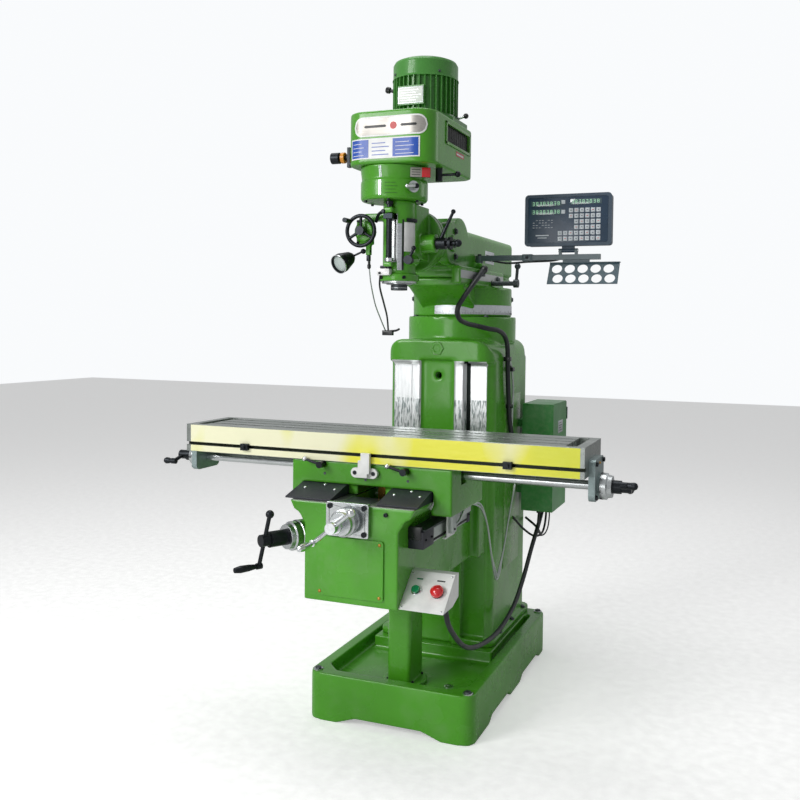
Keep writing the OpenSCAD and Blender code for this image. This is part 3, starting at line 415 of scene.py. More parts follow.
class Shape:
    """Solids gathered into one piece, each with its own material."""

    def __init__(self):
        self.bm = bmesh.new()
        self.shaders = []

    def take(self, solid, shader):
        if shader not in self.shaders:
            self.shaders.append(shader)
        for face in solid.faces:
            face.material_index = self.shaders.index(shader)
        bmesh.ops.recalc_face_normals(solid, faces=solid.faces)
        mesh = bpy.data.meshes.new("part")
        solid.to_mesh(mesh)
        solid.free()
        self.bm.from_mesh(mesh)
        bpy.data.meshes.remove(mesh)

    def box(self, lo, hi, shader, bevel=0.0005, turn=None, about=None):
        """Box between two corners with rounded edges, turned by a matrix about a point."""
        lo, hi = Vector(lo), Vector(hi)
        solid = bmesh.new()
        size = Matrix.Diagonal((*(hi - lo), 1))
        bmesh.ops.create_cube(solid, size=1, matrix=Matrix.Translation((lo + hi) / 2) @ size)
        if bevel:
            bmesh.ops.bevel(solid, geom=solid.edges[:], offset=bevel, segments=2, profile=0.6, affect="EDGES")
        if turn:
            pivot = Matrix.Translation(about)
            bmesh.ops.transform(solid, matrix=pivot @ turn.to_4x4() @ pivot.inverted(), verts=solid.verts)
        self.take(solid, shader)

    def lathe(self, profile, base, axis, shader, sides=40):
        """Solid of revolution: profile holds (radius, height along the axis from base)."""
        place = upright(base, axis)
        solid = bmesh.new()
        rings = []
        for radius, height in profile:
            spots = [(0, 0, height)]
            if radius > 1e-6:
                turns = [2 * math.pi * i / sides for i in range(sides)]
                spots = [(radius * math.cos(t), radius * math.sin(t), height) for t in turns]
            rings.append([solid.verts.new(place @ Vector(spot)) for spot in spots])
        join_rings(solid, rings, sides)
        self.take(solid, shader)

    def tube(self, points, radius, shader, sides=10, steps=8, rib=0.0):
        """Round cable through the points; rib makes the rings of an armoured hose."""
        path = smooth_path(points, steps)
        solid = bmesh.new()
        rings = []
        side = (path[1] - path[0]).normalized().orthogonal().normalized()
        for i, point in enumerate(path):
            ahead = (path[min(i + 1, len(path) - 1)] - path[max(i - 1, 0)]).normalized()
            side = (side - side.dot(ahead) * ahead).normalized()
            other = ahead.cross(side)
            r = radius * (1 + (rib if i % 2 else 0))
            turns = [2 * math.pi * k / sides for k in range(sides)]
            spots = [point + r * (math.cos(t) * side + math.sin(t) * other) for t in turns]
            rings.append([solid.verts.new(spot) for spot in spots])
        join_rings(solid, rings, sides)
        solid.faces.new(rings[0])
        solid.faces.new(rings[-1])
        self.take(solid, shader)

    def sheet(self, surface, columns, rows, thickness, shader):
        """Thin sheet: surface(u, v) gives a point and its outward normal for u, v from 0 to 1."""
        solid = bmesh.new()
        layers = []
        for out in (0.0, thickness):
            grid = []
            for i in range(columns + 1):
                line = [surface(i / columns, j / rows) for j in range(rows + 1)]
                grid.append([solid.verts.new(Vector(point) + out * Vector(normal)) for point, normal in line])
            layers.append(grid)
        for grid in layers:
            for i, j in product(range(columns), range(rows)):
                solid.faces.new((grid[i][j], grid[i + 1][j], grid[i + 1][j + 1], grid[i][j + 1]))
        back, front = layers
        rim = [(i, 0) for i in range(columns)] + [(columns, j) for j in range(rows)]
        rim += [(i, rows) for i in range(columns, 0, -1)] + [(0, j) for j in range(rows, 0, -1)]
        for (i, j), (k, m) in zip(rim, rim[1:] + rim[:1]):
            solid.faces.new((back[i][j], back[k][m], front[k][m], front[i][j]))
        self.take(solid, shader)

    def wrap(self, centre, degrees, heights, radii, shader, thickness=0.0008, grid=(20, 1)):
        """Thin sheet round an upright axis: degrees from the front, radii at the two heights."""
        (a0, a1), (z0, z1), (r0, r1) = degrees, heights, radii

        def surface(u, v):
            normal = facing(a0 + (a1 - a0) * u)
            return centre + normal * (r0 + (r1 - r0) * v) + Z * (z0 + (z1 - z0) * v), normal

        self.sheet(surface, *grid, thickness, shader)

    def ball(self, centre, radius, shader, sides=24):
        arc = [math.pi * i / 12 for i in range(13)]
        profile = [(radius * math.sin(a), -radius * math.cos(a)) for a in arc]
        self.lathe(profile, centre, Z, shader, sides)

    def cap(self, seat, axis, radius, height, chamfer, shader, sides=40, sink=0.0):
        """Round cap; chamfer holds how far its rim is cut in and down."""
        inward, down = chamfer
        profile = [(radius, -sink), (radius, height - down), (radius - inward, height), (0, height)]
        self.lathe(profile, seat, axis, shader, sides)

    def socket_screw(self, seat, axis, radius, height=None):
        """Socket head screw standing on its seat."""
        h = height or radius * 1.1
        r = radius
        rim = [(r, 0), (r, h * 0.88), (r * 0.9, h), (r * 0.56, h)]
        self.lathe(rim + [(r * 0.52, h * 0.55), (0, h * 0.45)], seat, axis, black_steel, 24)

    def hex_bolt(self, seat, axis, radius, height=None):
        """Hexagonal bolt head on a washer."""
        h = height or radius * 0.75
        washer = [(radius * 1.35, 0), (radius * 1.35, h * 0.22), (radius, h * 0.22), (0, h * 0.22)]
        self.lathe(washer, seat, axis, dark_iron, 28)
        head = [(radius, h * 0.2), (radius, h * 0.85), (radius * 0.82, h), (0, h)]
        self.lathe(head, seat, axis, dark_iron, 6)

    def dome_screw(self, seat, axis, radius, shader=turned_steel):
        arc = [math.pi / 2 * i / 5 for i in range(6)]
        self.lathe([(radius * math.cos(a), radius * 0.55 * math.sin(a)) for a in arc], seat, axis, shader, 20)

    def ticks(self, centre, axis, radius, count, length, arc=2 * math.pi):
        """Graduations round a dial; length is along the axis and every fifth mark is longer."""
        for i in range(count):
            size = length if i % 5 == 0 else length * 0.6
            solid = bmesh.new()
            mark = Matrix.Rotation(arc * i / count, 4, "Z") @ Matrix.Translation((radius, 0, size / 2))
            place = upright(centre, axis) @ mark @ Matrix.Diagonal((0.0006, 0.0007, size, 1))
            bmesh.ops.create_cube(solid, size=1, matrix=place)
            self.take(solid, black_print)

    def finish(self, name, body):
        """Makes the piece; a cable that hangs between two bodies has body None and is left unattached."""
        for face in self.bm.faces:
            face.smooth = True
        for edge in self.bm.edges:
            edge.smooth = edge.is_manifold and edge.calc_face_angle() < math.radians(34)
        mesh = bpy.data.meshes.new(name)
        self.bm.to_mesh(mesh)
        self.bm.free()
        for shader in self.shaders:
            mesh.materials.append(shader.material)
        piece = add_object(name, mesh)
        if body:
            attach(piece, body)
        return piece


# ---- CAD nodes ------------------------------------------------------------


def coat(mesh, shader):
    """One material and smooth shading all over a mesh."""
    mesh.materials.clear()
    mesh.materials.append(shader.material)
    for face in mesh.polygons:
        face.use_smooth = True
        face.material_index = 0


def casting(node, shader, voxel, rounds):
    """Stands for a CAD casting with the same solid, its edges and corners rounded as a mould leaves them."""
    source = NODES[node]
    piece = add_object(node + "_casting", source.data.copy())
    remesh = piece.modifiers.new("remesh", "REMESH")
    remesh.mode = "VOXEL"
    remesh.voxel_size = voxel
    soften = piece.modifiers.new("soften", "SMOOTH")
    soften.factor = 0.5
    soften.iterations = rounds
    thin = piece.modifiers.new("thin", "DECIMATE")
    thin.ratio = 0.35
    bpy.context.view_layer.update()
    piece.data = bpy.data.meshes.new_from_object(piece.evaluated_get(bpy.context.evaluated_depsgraph_get()))
    piece.modifiers.clear()
    coat(piece.data, shader)
    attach(piece, source["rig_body"])
    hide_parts(node)


def dress(node, shader):
    """Gives a CAD node its material and rounds its edges."""
    piece = NODES[node]
    normals = piece.data.attributes.get("custom_normal")
    if normals:
        piece.data.attributes.remove(normals)
    coat(piece.data, shader)
    weld = piece.modifiers.new("weld", "WELD")
    weld.merge_threshold = 0.00002
    soft = piece.modifiers.new("soft_edges", "BEVEL")
    soft.width = 0.0008
    soft.segments = 2
    soft.limit_method = "ANGLE"
    soft.angle_limit = math.radians(32)
    soft.harden_normals = True
    soft.use_clamp_overlap = True
    weight = piece.modifiers.new("weight", "WEIGHTED_NORMAL")
    weight.keep_sharp = True


# node: material, voxel size, rounds of smoothing
CASTINGS = {
    "base": (green, 0.005, 8),
    "column": (column_enamel, 0.005, 8),
    "pedestal": (green, 0.003, 5),
    "knee": (knee_enamel, 0.004, 5),
    "saddle": (green, 0.004, 3),
    "turret": (turret_enamel, 0.004, 8),
    "ram": (green, 0.004, 8),
    "ram_adapter": (green, 0.003, 6),
    "head": (green, 0.003, 6),
    "gear_housing": (green, 0.003, 5),
    "belt_housing": (green, 0.0035, 14),
}
DRESSED = {
    cabinet_enamel: "cabinet cabinet_door",
    green: "knee_cover",
    motor_enamel: "motor",
    table_steel: "table",
    ground_steel: "knee_gib saddle_gibs",
    quill_steel: "quill",
    turned_steel: "cross_bracket elevating_screw knee_crank_shaft knee_dial cross_screw cross_dial"
    " table_screw table_dials feed_selector",
    chrome: "cross_crank depth_nut",
    bronze: "elevating_nut feed_nuts",
    dark_iron: "motor_pulley spindle_pulley ram_pinion spindle",
    cast_steel: "table_brackets",
    black_steel: "knee_crank table_cranks table_lock_left table_lock_right dog_left dog_right depth_rod"
    " drawbar quill_handle feed_wheel quill_lock brake_lever speed_lever work_lamp",
    rubber: "way_wipers drive_belt",
    white_enamel: "button_box stop_bracket",
    green_plastic: "start_button",
    red_plastic: "stop_button",
    slate: "dro_console",
    arm_grey: "dro_arm",
    tray_grey: "tool_tray",
}
for node, (shader, voxel, rounds) in CASTINGS.items():
    casting(node, shader, voxel, rounds)
for shader, names in DRESSED.items():
    for node in names.split():
        dress(node, shader)

# ---- Stand ----------------------------------------------------------------


def stand_details():
    s = Shape()
    top = high("base").z
    for x, y in product((-0.275, 0.275), (-0.465, 0.465)):
        s.lathe([(0.017, 0), (0.017, 0.0025), (0.015, 0.004), (0.0095, 0.004)], (x, y, top), Z, turned_steel)
        s.hex_bolt((x, y, top + 0.002), Z, 0.012, 0.007)
    # drain plug and grate of the coolant tray; the grate's holes are near-black discs of painted shade
    drain = Vector((0.16, -0.33, 0.12))
    s.cap(drain, Z, 0.016, 0.004, (0.003, 0.001), turned_steel, 28)
    for spot, _ in around(drain + Z * 0.0035, 0.008, 6):
        s.lathe([(0.0022, 0), (0.0022, 0.0012), (0, 0.0012)], spot, Z, opening_shade, 10)
    # bolts of the column's foot and of the pedestal
    for x, y in product((-0.218, 0.218), (0.08, 0.25, 0.42)):
        s.hex_bolt((x, y, 0.19), Z, 0.011)
    for spot, _ in around((0, KNEE_CRANK.y, 0.134), 0.064, 4, 45):
        s.socket_screw(spot, Z, 0.0055)
    # plain raised badge on the column's shoulder
    badge = [(0.028, -0.004), (0.028, 0.002), (0.024, 0.005), (0.017, 0.005), (0.014, 0.003), (0, 0.003)]
    s.lathe(badge, (0, -0.0535, 1.283), -Y, green, 6)
    # bolts round the turret's ring
    for spot, _ in around(TURRET + Z * 1.4045, 0.206, 4, 45):
        s.hex_bolt(spot, Z, 0.0085, 0.006)
    # stiffening pads on the column's sides and a cover on its back
    for x in (-0.2125, 0.2125):
        s.box((x - 0.002, 0.14, 0.42), (x + 0.002, 0.36, 1.1), green, 0.0018)
    s.box((-0.12, 0.4795, 0.42), (0.12, 0.4845, 1.02), green, 0.0018)
    for x, z in product((-0.108, 0.108), (0.435, 0.72, 1.005)):
        s.socket_screw((x, 0.4845, z), Y, 0.005)
    s.finish("stand_fittings", "stand")


def cabinet_details():
    lo, hi = low("cabinet"), high("cabinet")
    s = Shape()
    # hinge pins, rain lip along the top and glands in the bottom
    for z in (0.70, 0.98):
        s.cap((hi.x + 0.0015, hi.y + 0.003, z), Z, 0.005, 0.051, (0.001, 0.001), dark_iron, 16)
    s.box((0.2405, lo.y - 0.003, hi.z - 0.001), (hi.x, hi.y + 0.002, hi.z + 0.003), cabinet_enamel, 0.001)
    gland = [(0.015, 0), (0.015, 0.007), (0.011, 0.009), (0.011, 0.016), (0.008, 0.018), (0.0045, 0.018)]
    for y in (0.36, 0.42, 0.48):
        s.lathe(gland, (0.30, y, lo.z), -Z, black_plastic, 12)
    s.finish("cabinet_fittings", "stand")

    # lock and a blank rating plate on the door
    d = Shape()
    front = high("cabinet_door").x
    lock = [(0.0075, 0), (0.0075, 0.002), (0.0035, 0.003), (0.0035, 0.001), (0, 0.001)]
    d.lathe(lock, (front, 0.33, 0.84), X, chrome, 28)
    plate = front - 0.009
    d.box((plate - 0.0005, 0.385, 0.935), (plate + 0.0008, 0.465, 0.985), aluminium, 0.0004)
    for row in range(4):
        z = 0.944 + row * 0.01
        end = 0.452 - 0.012 * (row % 2)
        d.box((plate + 0.0006, 0.392, z), (plate + 0.0011, end, z + 0.0025), black_print, 0)
    d.finish("cabinet_door_fittings", "cabinet_door")


# ---- Knee -----------------------------------------------------------------


def knee_details():
    s = Shape()
    for x, z in product((-0.1, 0.1), (0.551, 0.711)):
        s.dome_screw((x, low("knee_cover").y, z), -Y, 0.0055, bronze)
    bracket = -0.806
    for x, z in product((-0.061, 0.053), (0.74, 0.82)):
        s.socket_screw((x, bracket + 0.001, z), -Y, 0.0085, 0.006)
    # zero mark for the cross dial and steel lid over the screw's trough
    s.box((-0.0006, bracket - 0.0185, 0.8145), (0.0006, bracket - 0.0175, 0.8215), black_print, 0)
    s.box((-0.0495, -0.7895, 0.8205), (0.0495, -0.662, 0.8232), dark_iron, 0.0008)
    # oil nipples on the flange, and the gib screw in front
    for y in (-0.72, -0.6, -0.24):
        s.ball((-0.158, y, 0.73), 0.004, bronze, 14)
    s.socket_screw((0.118, -0.7905, 0.803), -Y, 0.0065)
    s.finish("knee_fittings", "knee")

    ring = Shape()
    rim = [(0.0485, 0), (0.0485, 0.006), (0.0465, 0.0075), (0.02, 0.0075)]
    ring.lathe(rim, KNEE_CRANK + KNEE_CRANK_OUT * 0.4475, KNEE_CRANK_OUT, turned_steel)
    ring.finish("crank_boss_ring", "knee")


def station_details():
    """Rims, screws and blank legends on the push-button station's sloped panel."""
    s = Shape()
    rise, run = 0.092, 0.108
    foot = Vector((0, -0.783, 0.522))
    along = Vector((0, run, rise)).normalized()
    out = Vector((0, -rise, run)).normalized()
    turn = Matrix.Rotation(math.atan2(rise, run), 3, "X")
    length = math.hypot(rise, run)

    def on_panel(x, up):
        return X * x + foot + along * up

    rim = [(0.0158, -0.001), (0.0158, 0.0022), (0.0148, 0.0035), (0.0128, 0.0035)]
    rim += [(0.0124, 0.0012), (0.0095, 0.0012), (0.0095, -0.001)]
    s.lathe(rim, on_panel(0.193, length / 2), out, chrome, 36)
    collar = [(0.019, -0.001), (0.019, 0.0008), (0.0175, 0.0014), (0.0095, 0.0014), (0.0095, -0.001)]
    s.lathe(collar, on_panel(0.262, length / 2), out, black_plastic, 36)
    for x, up in product((0.165, 0.292), (0.01, length - 0.01)):
        s.dome_screw(on_panel(x, up), out, 0.0032)
    for x, half, print_shader in ((0.193, 0.01, green_plastic), (0.262, 0.013, black_print)):
        spot = on_panel(x, length * 0.8)
        s.box(
            spot - Vector((half, 0.0022, 0.0004)), spot + Vector((half, 0.0022, 0.0006)),
            print_shader, 0.0002, turn, spot,
        )
    gland = [(0.014, -0.002), (0.014, 0.006), (0.011, 0.009), (0.011, 0.014), (0.006, 0.016)]
    s.lathe(gland, (0.262, -0.672, 0.531), (0, 0.45, -0.9), black_plastic, 12)
    s.finish("station_fittings", "knee")


def linear_scale():
    """Readout scale on the knee's right side and the reading head under the saddle."""
    s = Shape()
    for y0, y1 in ((-0.71, -0.62), (-0.292, -0.262)):
        s.box((0.157, y0, 0.688), (0.208, y1, 0.742), rubber, 0.003)
    s.box((0.166, -0.622, 0.692), (0.206, -0.29, 0.738), armour, 0.003)
    # near-black strip of painted shade along the scale's slot
    s.box((0.172, -0.62, 0.697), (0.2075, -0.292, 0.7045), opening_shade, 0.001)
    s.box((0.157, -0.7, 0.742), (0.21, -0.28, 0.7465), dark_iron, 0.001)
    s.box((0.157, -0.712, 0.716), (0.2, -0.7, 0.757), black_plastic, 0.002)
    for y in (-0.69, -0.64, -0.277):
        s.socket_screw((0.208, y, 0.715), X, 0.0035)
    s.finish("linear_scale", "knee")

    h = Shape()
    h.box((0.2155, -0.53, 0.69), (0.2195, -0.47, 0.784), white_enamel, 0.0015)
    h.box((0.2085, -0.545, 0.686), (0.2195, -0.455, 0.692), white_enamel, 0.0015)
    h.box((0.2195, -0.52, 0.7), (0.234, -0.478, 0.776), armour, 0.003)
    h.box((0.234, -0.45, 0.742), (0.238, -0.345, 0.784), armour, 0.0012)
    for z in (0.712, 0.764):
        h.socket_screw((0.234, -0.5, z), X, 0.0032)
    lead = [(0.23, -0.48, 0.72), (0.238, -0.46, 0.735), (0.241, -0.42, 0.765), (0.242, -0.38, 0.779)]
    h.tube(lead, 0.0035, armour, 10, 14, 0.18)
    h.finish("scale_reading_head", "saddle")


# ---- Cables ---------------------------------------------------------------


def looped_cables():
    """Cables that hang between the knee and the stand."""
    pendant = Shape()
    points = [
        (0.262, -0.668, 0.52), (0.264, -0.62, 0.43), (0.268, -0.48, 0.325), (0.27, -0.3, 0.275),
        (0.272, -0.1, 0.262), (0.276, 0.08, 0.3), (0.28, 0.2, 0.375), (0.285, 0.3, 0.47),
        (0.295, 0.38, 0.56), (0.3, 0.42, 0.612),
    ]
    pendant.tube(points, 0.0085, cable_jacket, 12, 10)
    loop = pendant.finish("control_cable", None)
    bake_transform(loop)

    feeler = Shape()
    for shift, dip in ((0.0, 0.44), (0.012, 0.45)):
        points = [
            (0.218, -0.27, 0.752), (0.236, -0.225, 0.74 - shift), (0.246, -0.18, 0.66), (0.25, -0.14, 0.55),
            (0.252, -0.1 + shift, dip + 0.02), (0.253, -0.075, dip), (0.254, -0.045 - shift, dip + 0.02),
            (0.256, 0.0, 0.54), (0.262, 0.05, 0.66), (0.27, 0.1, 0.78), (0.262, 0.15, 0.87 + shift),
            (0.226, 0.19, 0.93),
        ]
        feeler.tube(points, 0.0032, armour, 8, 16, 0.16)
    wire = feeler.finish("scale_cables", None)
    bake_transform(wire)


CONDUIT = {"radius": 0.009, "shader": cable_jacket, "sides": 12, "steps": 12, "rib": 0.05}


def stand_cables():
    s = Shape()
    points = [
        (0.226, 0.19, 0.93), (0.224, 0.2, 1.02), (0.224, 0.21, 1.12), (0.223, 0.19, 1.2), (0.219, 0.16, 1.25),
    ]
    s.tube(points, 0.0045, armour, 8, 16, 0.14)
    # bundle under the cabinet
    points = [
        (0.3, 0.36, 0.608), (0.3, 0.35, 0.575), (0.296, 0.37, 0.53), (0.29, 0.42, 0.512),
        (0.26, 0.46, 0.53), (0.214, 0.47, 0.56),
    ]
    s.tube(points, 0.005, cable_jacket)
    points = [
        (0.3, 0.48, 0.608), (0.302, 0.475, 0.58), (0.302, 0.45, 0.535), (0.296, 0.42, 0.508),
        (0.28, 0.36, 0.51), (0.25, 0.3, 0.55), (0.214, 0.27, 0.6),
    ]
    s.tube(points, 0.0045, cable_jacket)
    points = [
        (0.31, 0.49, 0.6245), (0.313, 0.488, 0.57), (0.31, 0.47, 0.52), (0.3, 0.43, 0.5), (0.27, 0.4, 0.505),
    ]
    s.tube(points, 0.003, cable_jacket, 8)
    for z in (0.93, 1.2):
        s.box((0.211, 0.175, z - 0.008), (0.232, 0.205, z + 0.008), black_plastic, 0.002)
    # conduit over the shoulder and down the column's right side
    points = [
        (0.16, -0.072, 1.37), (0.196, -0.04, 1.36), (0.222, 0.01, 1.352), (0.226, 0.076, 1.33),
        (0.226, 0.116, 1.285), (0.226, 0.124, 1.2), (0.226, 0.14, 1.1), (0.226, 0.17, 0.98),
        (0.236, 0.23, 0.88), (0.262, 0.301, 0.83),
    ]
    s.tube(points, **CONDUIT)
    gland = [(0.014, -0.004), (0.014, 0.006), (0.011, 0.008), (0.009, 0.012)]
    s.lathe(gland, (0.262, 0.3, 0.83), -Y, black_plastic, 12)
    for y, z in ((0.124, 1.235), (0.155, 1.05)):
        s.box((0.21, y - 0.012, z), (0.238, y + 0.012, z + 0.016), black_plastic, 0.002)
    s.finish("stand_cables", "stand")


def turret_conduit():
    """The conduit's upper part, from the turret down to the column's shoulder."""
    upper = Shape()
    points = [
        (0.158, 0.0, 1.578), (0.163, -0.06, 1.553), (0.158, -0.125, 1.515), (0.146, -0.18, 1.472),
        (0.132, -0.205, 1.43), (0.13, -0.18, 1.395), (0.14, -0.12, 1.378), (0.16, -0.072, 1.37),
    ]
    upper.tube(points, **CONDUIT)
    conduit = upper.finish("turret_conduit", None)
    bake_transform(conduit)
    g = Shape()
    gland = [(0.015, -0.012), (0.015, 0.004), (0.012, 0.007), (0.01, 0.014)]
    g.lathe(gland, (0.159, 0.01, 1.58), (0.05, -0.9, -0.3), black_plastic, 12)
    g.box((0.149, 0.0, 1.556), (0.16, 0.03, 1.59), dark_iron, 0.0015)
    g.finish("conduit_gland", "turret")


# ---- Saddle and table -----------------------------------------------------


def saddle_details():
    s = Shape()
    front = low("saddle").y
    # screws of the sloped way covers
    slope = 0.25
    foot_y, foot_z = -0.773, 0.8297
    for x in (-0.205, -0.15, -0.1, 0.105, 0.15, 0.19):
        y = -0.668 if abs(x) == 0.15 else -0.7
        z = foot_z + (y - foot_y) * slope
        s.dome_screw((x, y, z), (0, -slope, 1), 0.0055, chrome)
    plug = [(0.0045, 0), (0.0045, 0.0012), (0.002, 0.0012), (0, 0.0004)]
    for x, z in ((-0.158, 0.889), (-0.013, 0.878), (0.132, 0.884)):
        s.lathe(plug, (x, front, z), -Y, dark_iron, 16)
    for x in (-0.045, 0.019):
        s.socket_screw((x, front - 0.0125, 0.901), -Y, 0.0068, 0.003)
    # gib screws and oil cups at the ends
    for side in (-1, 1):
        s.socket_screw((side * 0.277, -0.602, 0.943), X * side, 0.005, 0.0012)
        s.ball((side * 0.2765, -0.5, 0.9), 0.0025, bronze, 14)
    s.finish("saddle_fittings", "saddle")
    for name, x, z in (("table_lock_left", -0.1635, 0.9195), ("table_lock_right", 0.1265, 0.9145)):
        knob = Shape()
        knob.ball(Vector((x, -0.677, z)) + polar(165, Y) * 0.058, 0.0085, chrome)
        knob.finish(name + "_knob", name)


def table_details():
    lo, hi = low("table"), high("table")
    groove_bottom, groove_top = 0.9525, 0.9635
    x0, x1 = -0.668, 0.672
    s = Shape()
    # film above and below the dogs' groove, faintly rippled
    for z0, z1 in ((groove_top, hi.z - 0.002), (lo.z + 0.001, groove_bottom)):

        def surface(u, v):
            x = x0 + (x1 - x0) * u
            z = z0 + (z1 - z0) * v
            ripple = 0.0002 * abs(noise.noise(Vector((x * 18, z * 40, 0.3))))
            return (x, lo.y - 0.0002 - ripple, z), -Y

        s.sheet(surface, 70, 4, 0.0003, film)
    s.finish("table_film", "table")

    # end brackets' screws and oilers, and strainers in the coolant troughs
    t = Shape()
    strainer = [(0.012, 0), (0.012, 0.001), (0, 0.001)]
    for side in (-1, 1):
        end = side * 0.7054
        for dy, z in product((-0.055, 0.055), (0.868, 0.968)):
            t.socket_screw((end, TABLE_MIDDLE + dy, z), X * side, 0.0075, 0.006)
        t.ball((end, TABLE_MIDDLE, 0.965), 0.004, bronze, 14)
        t.lathe(strainer, (side * 0.64, TABLE_MIDDLE, 1.003), Z, dark_iron, 24)
    t.finish("table_fittings", "table")


def dial_marks():
    s = Shape()
    s.ticks(KNEE_CRANK + KNEE_CRANK_OUT * 0.4556, KNEE_CRANK_OUT, 0.046, 80, 0.012)
    s.finish("knee_dial_marks", "knee_crank")
    s = Shape()
    s.ticks((0, -0.8246, 0.778), -Y, 0.042, 80, 0.012)
    s.finish("cross_dial_marks", "cross_screw")
    s = Shape()
    for side in (-1, 1):
        s.ticks((side * 0.7116, TABLE_MIDDLE, 0.895), X * side, 0.04, 80, 0.011)
    s.finish("table_dial_marks", "table_screw")


# ---- Turret, ram and adapter ----------------------------------------------


def turret_details():
    s = Shape()
    # degree band round the turret's foot
    radius = 0.1982
    s.wrap(TURRET, (-14, 112), (1.414, 1.45), (radius, radius), aluminium, grid=(60, 1))
    for i in range(71):
        angle = -103 + 124 * i / 70
        tall = 0.014 if i % 5 == 0 else 0.008
        spot = TURRET + polar(angle) * (radius + 0.0009) + Z * 1.4145
        turn = Matrix.Rotation(math.radians(angle), 3, "Z")
        half = Vector((0.0003, 0.0004, 0))
        s.box(spot - half, spot + half + Z * tall, black_print, 0, turn, spot)
    # ram clamp bolts on the right side, gib screws on the left
    for y in (-0.05, 0.22):
        s.hex_bolt((0.1505, y, 1.55), X, 0.0115, 0.01)
    for y in (-0.16, 0.0, 0.16, 0.28):
        s.socket_screw((-0.1505, y, 1.552), -X, 0.0055)
    # swivel clamp nuts on the turret's foot
    for spot, out in around(TURRET + Z * 1.476, 0.198, 4, 20):
        s.hex_bolt(spot, out, 0.009, 0.007)
    s.finish("turret_fittings", "turret")


def ram_details():
    s = Shape()
    # pivot caps and clamp bolts of the nod joint
    for side in (-1, 1):
        cheek = NOD + X * side * 0.098
        s.cap(cheek, X * side, 0.03, 0.008, (0.003, 0.003), green, sink=0.002)
        s.hex_bolt(cheek + X * side * 0.008, X * side, 0.012, 0.009)
        for spot, _ in around(cheek, 0.053, 3, 60, X):
            s.hex_bolt(spot, X * side, 0.0095, 0.009)
    # cover on the ram's rear end, held by screws
    rear = Vector((0, 0.66, 1.657))
    s.cap(rear, Y, 0.058, 0.005, (0.003, 0.002), green, 48, 0.002)
    for spot, _ in around(rear + Y * 0.005, 0.05, 6, axis=Y):
        s.socket_screw(spot, Y, 0.0035)
    # blank plate on the right side
    s.box((0.0975, 0.22, 1.62), (0.0988, 0.34, 1.67), aluminium, 0.0004)
    for row in range(3):
        z = 1.63 + 0.011 * row
        s.box((0.0986, 0.23, z), (0.0992, 0.32 - 0.015 * (row % 2), z + 0.003), black_print, 0)
    s.finish("ram_fittings", "ram")

    # tilt clamp bolts and degree marks on the adapter's flange, and a worm's square end
    a = Shape()
    for spot, _ in around((0, -0.2645, NOD.z), 0.088, 4, 45, Y):
        a.hex_bolt(spot, Y, 0.0105, 0.01)
    a.ticks((0, -0.2895, NOD.z), Y, 0.108, 91, 0.008, math.pi)
    a.hex_bolt((0.05, -0.2, 1.7255), Z, 0.01, 0.02)
    a.finish("adapter_fittings", "ram_adapter")


# ---- Head -----------------------------------------------------------------

FRONT_FLAT = 0.085
FRONT_RADIUS = 0.07
FRONT_Y = -0.548


def belt_front(along, height, out):
    """Point and normal on the belt housing's rounded front; along runs round it from the middle."""
    if abs(along) <= FRONT_FLAT:
        return Vector((along, FRONT_Y - out, height)), -Y
    angle = (abs(along) - FRONT_FLAT) / FRONT_RADIUS
    normal = Vector((math.copysign(math.sin(angle), along), -math.cos(angle), 0))
    centre = Vector((math.copysign(FRONT_FLAT, along), FRONT_Y + FRONT_RADIUS, height))
    return centre + normal * (FRONT_RADIUS + out), normal


def front_plate(shape, s0, s1, z0, z1, out, shader, columns, round_ends=False):
    """Thin plate or print that follows the belt housing's front."""
    middle_z = (z0 + z1) / 2
    half = (z1 - z0) / 2

    def surface(u, v):
        along = s0 + (s1 - s0) * u
        edge = min(along - s0, s1 - along)
        reach = half
        if round_ends and edge < half:
            reach = math.sqrt(max(half**2 - (half - edge) ** 2, 1e-9))
        return belt_front(along, middle_z + (2 * v - 1) * reach, out)

    shape.sheet(surface, columns, 2, 0.0008, shader)


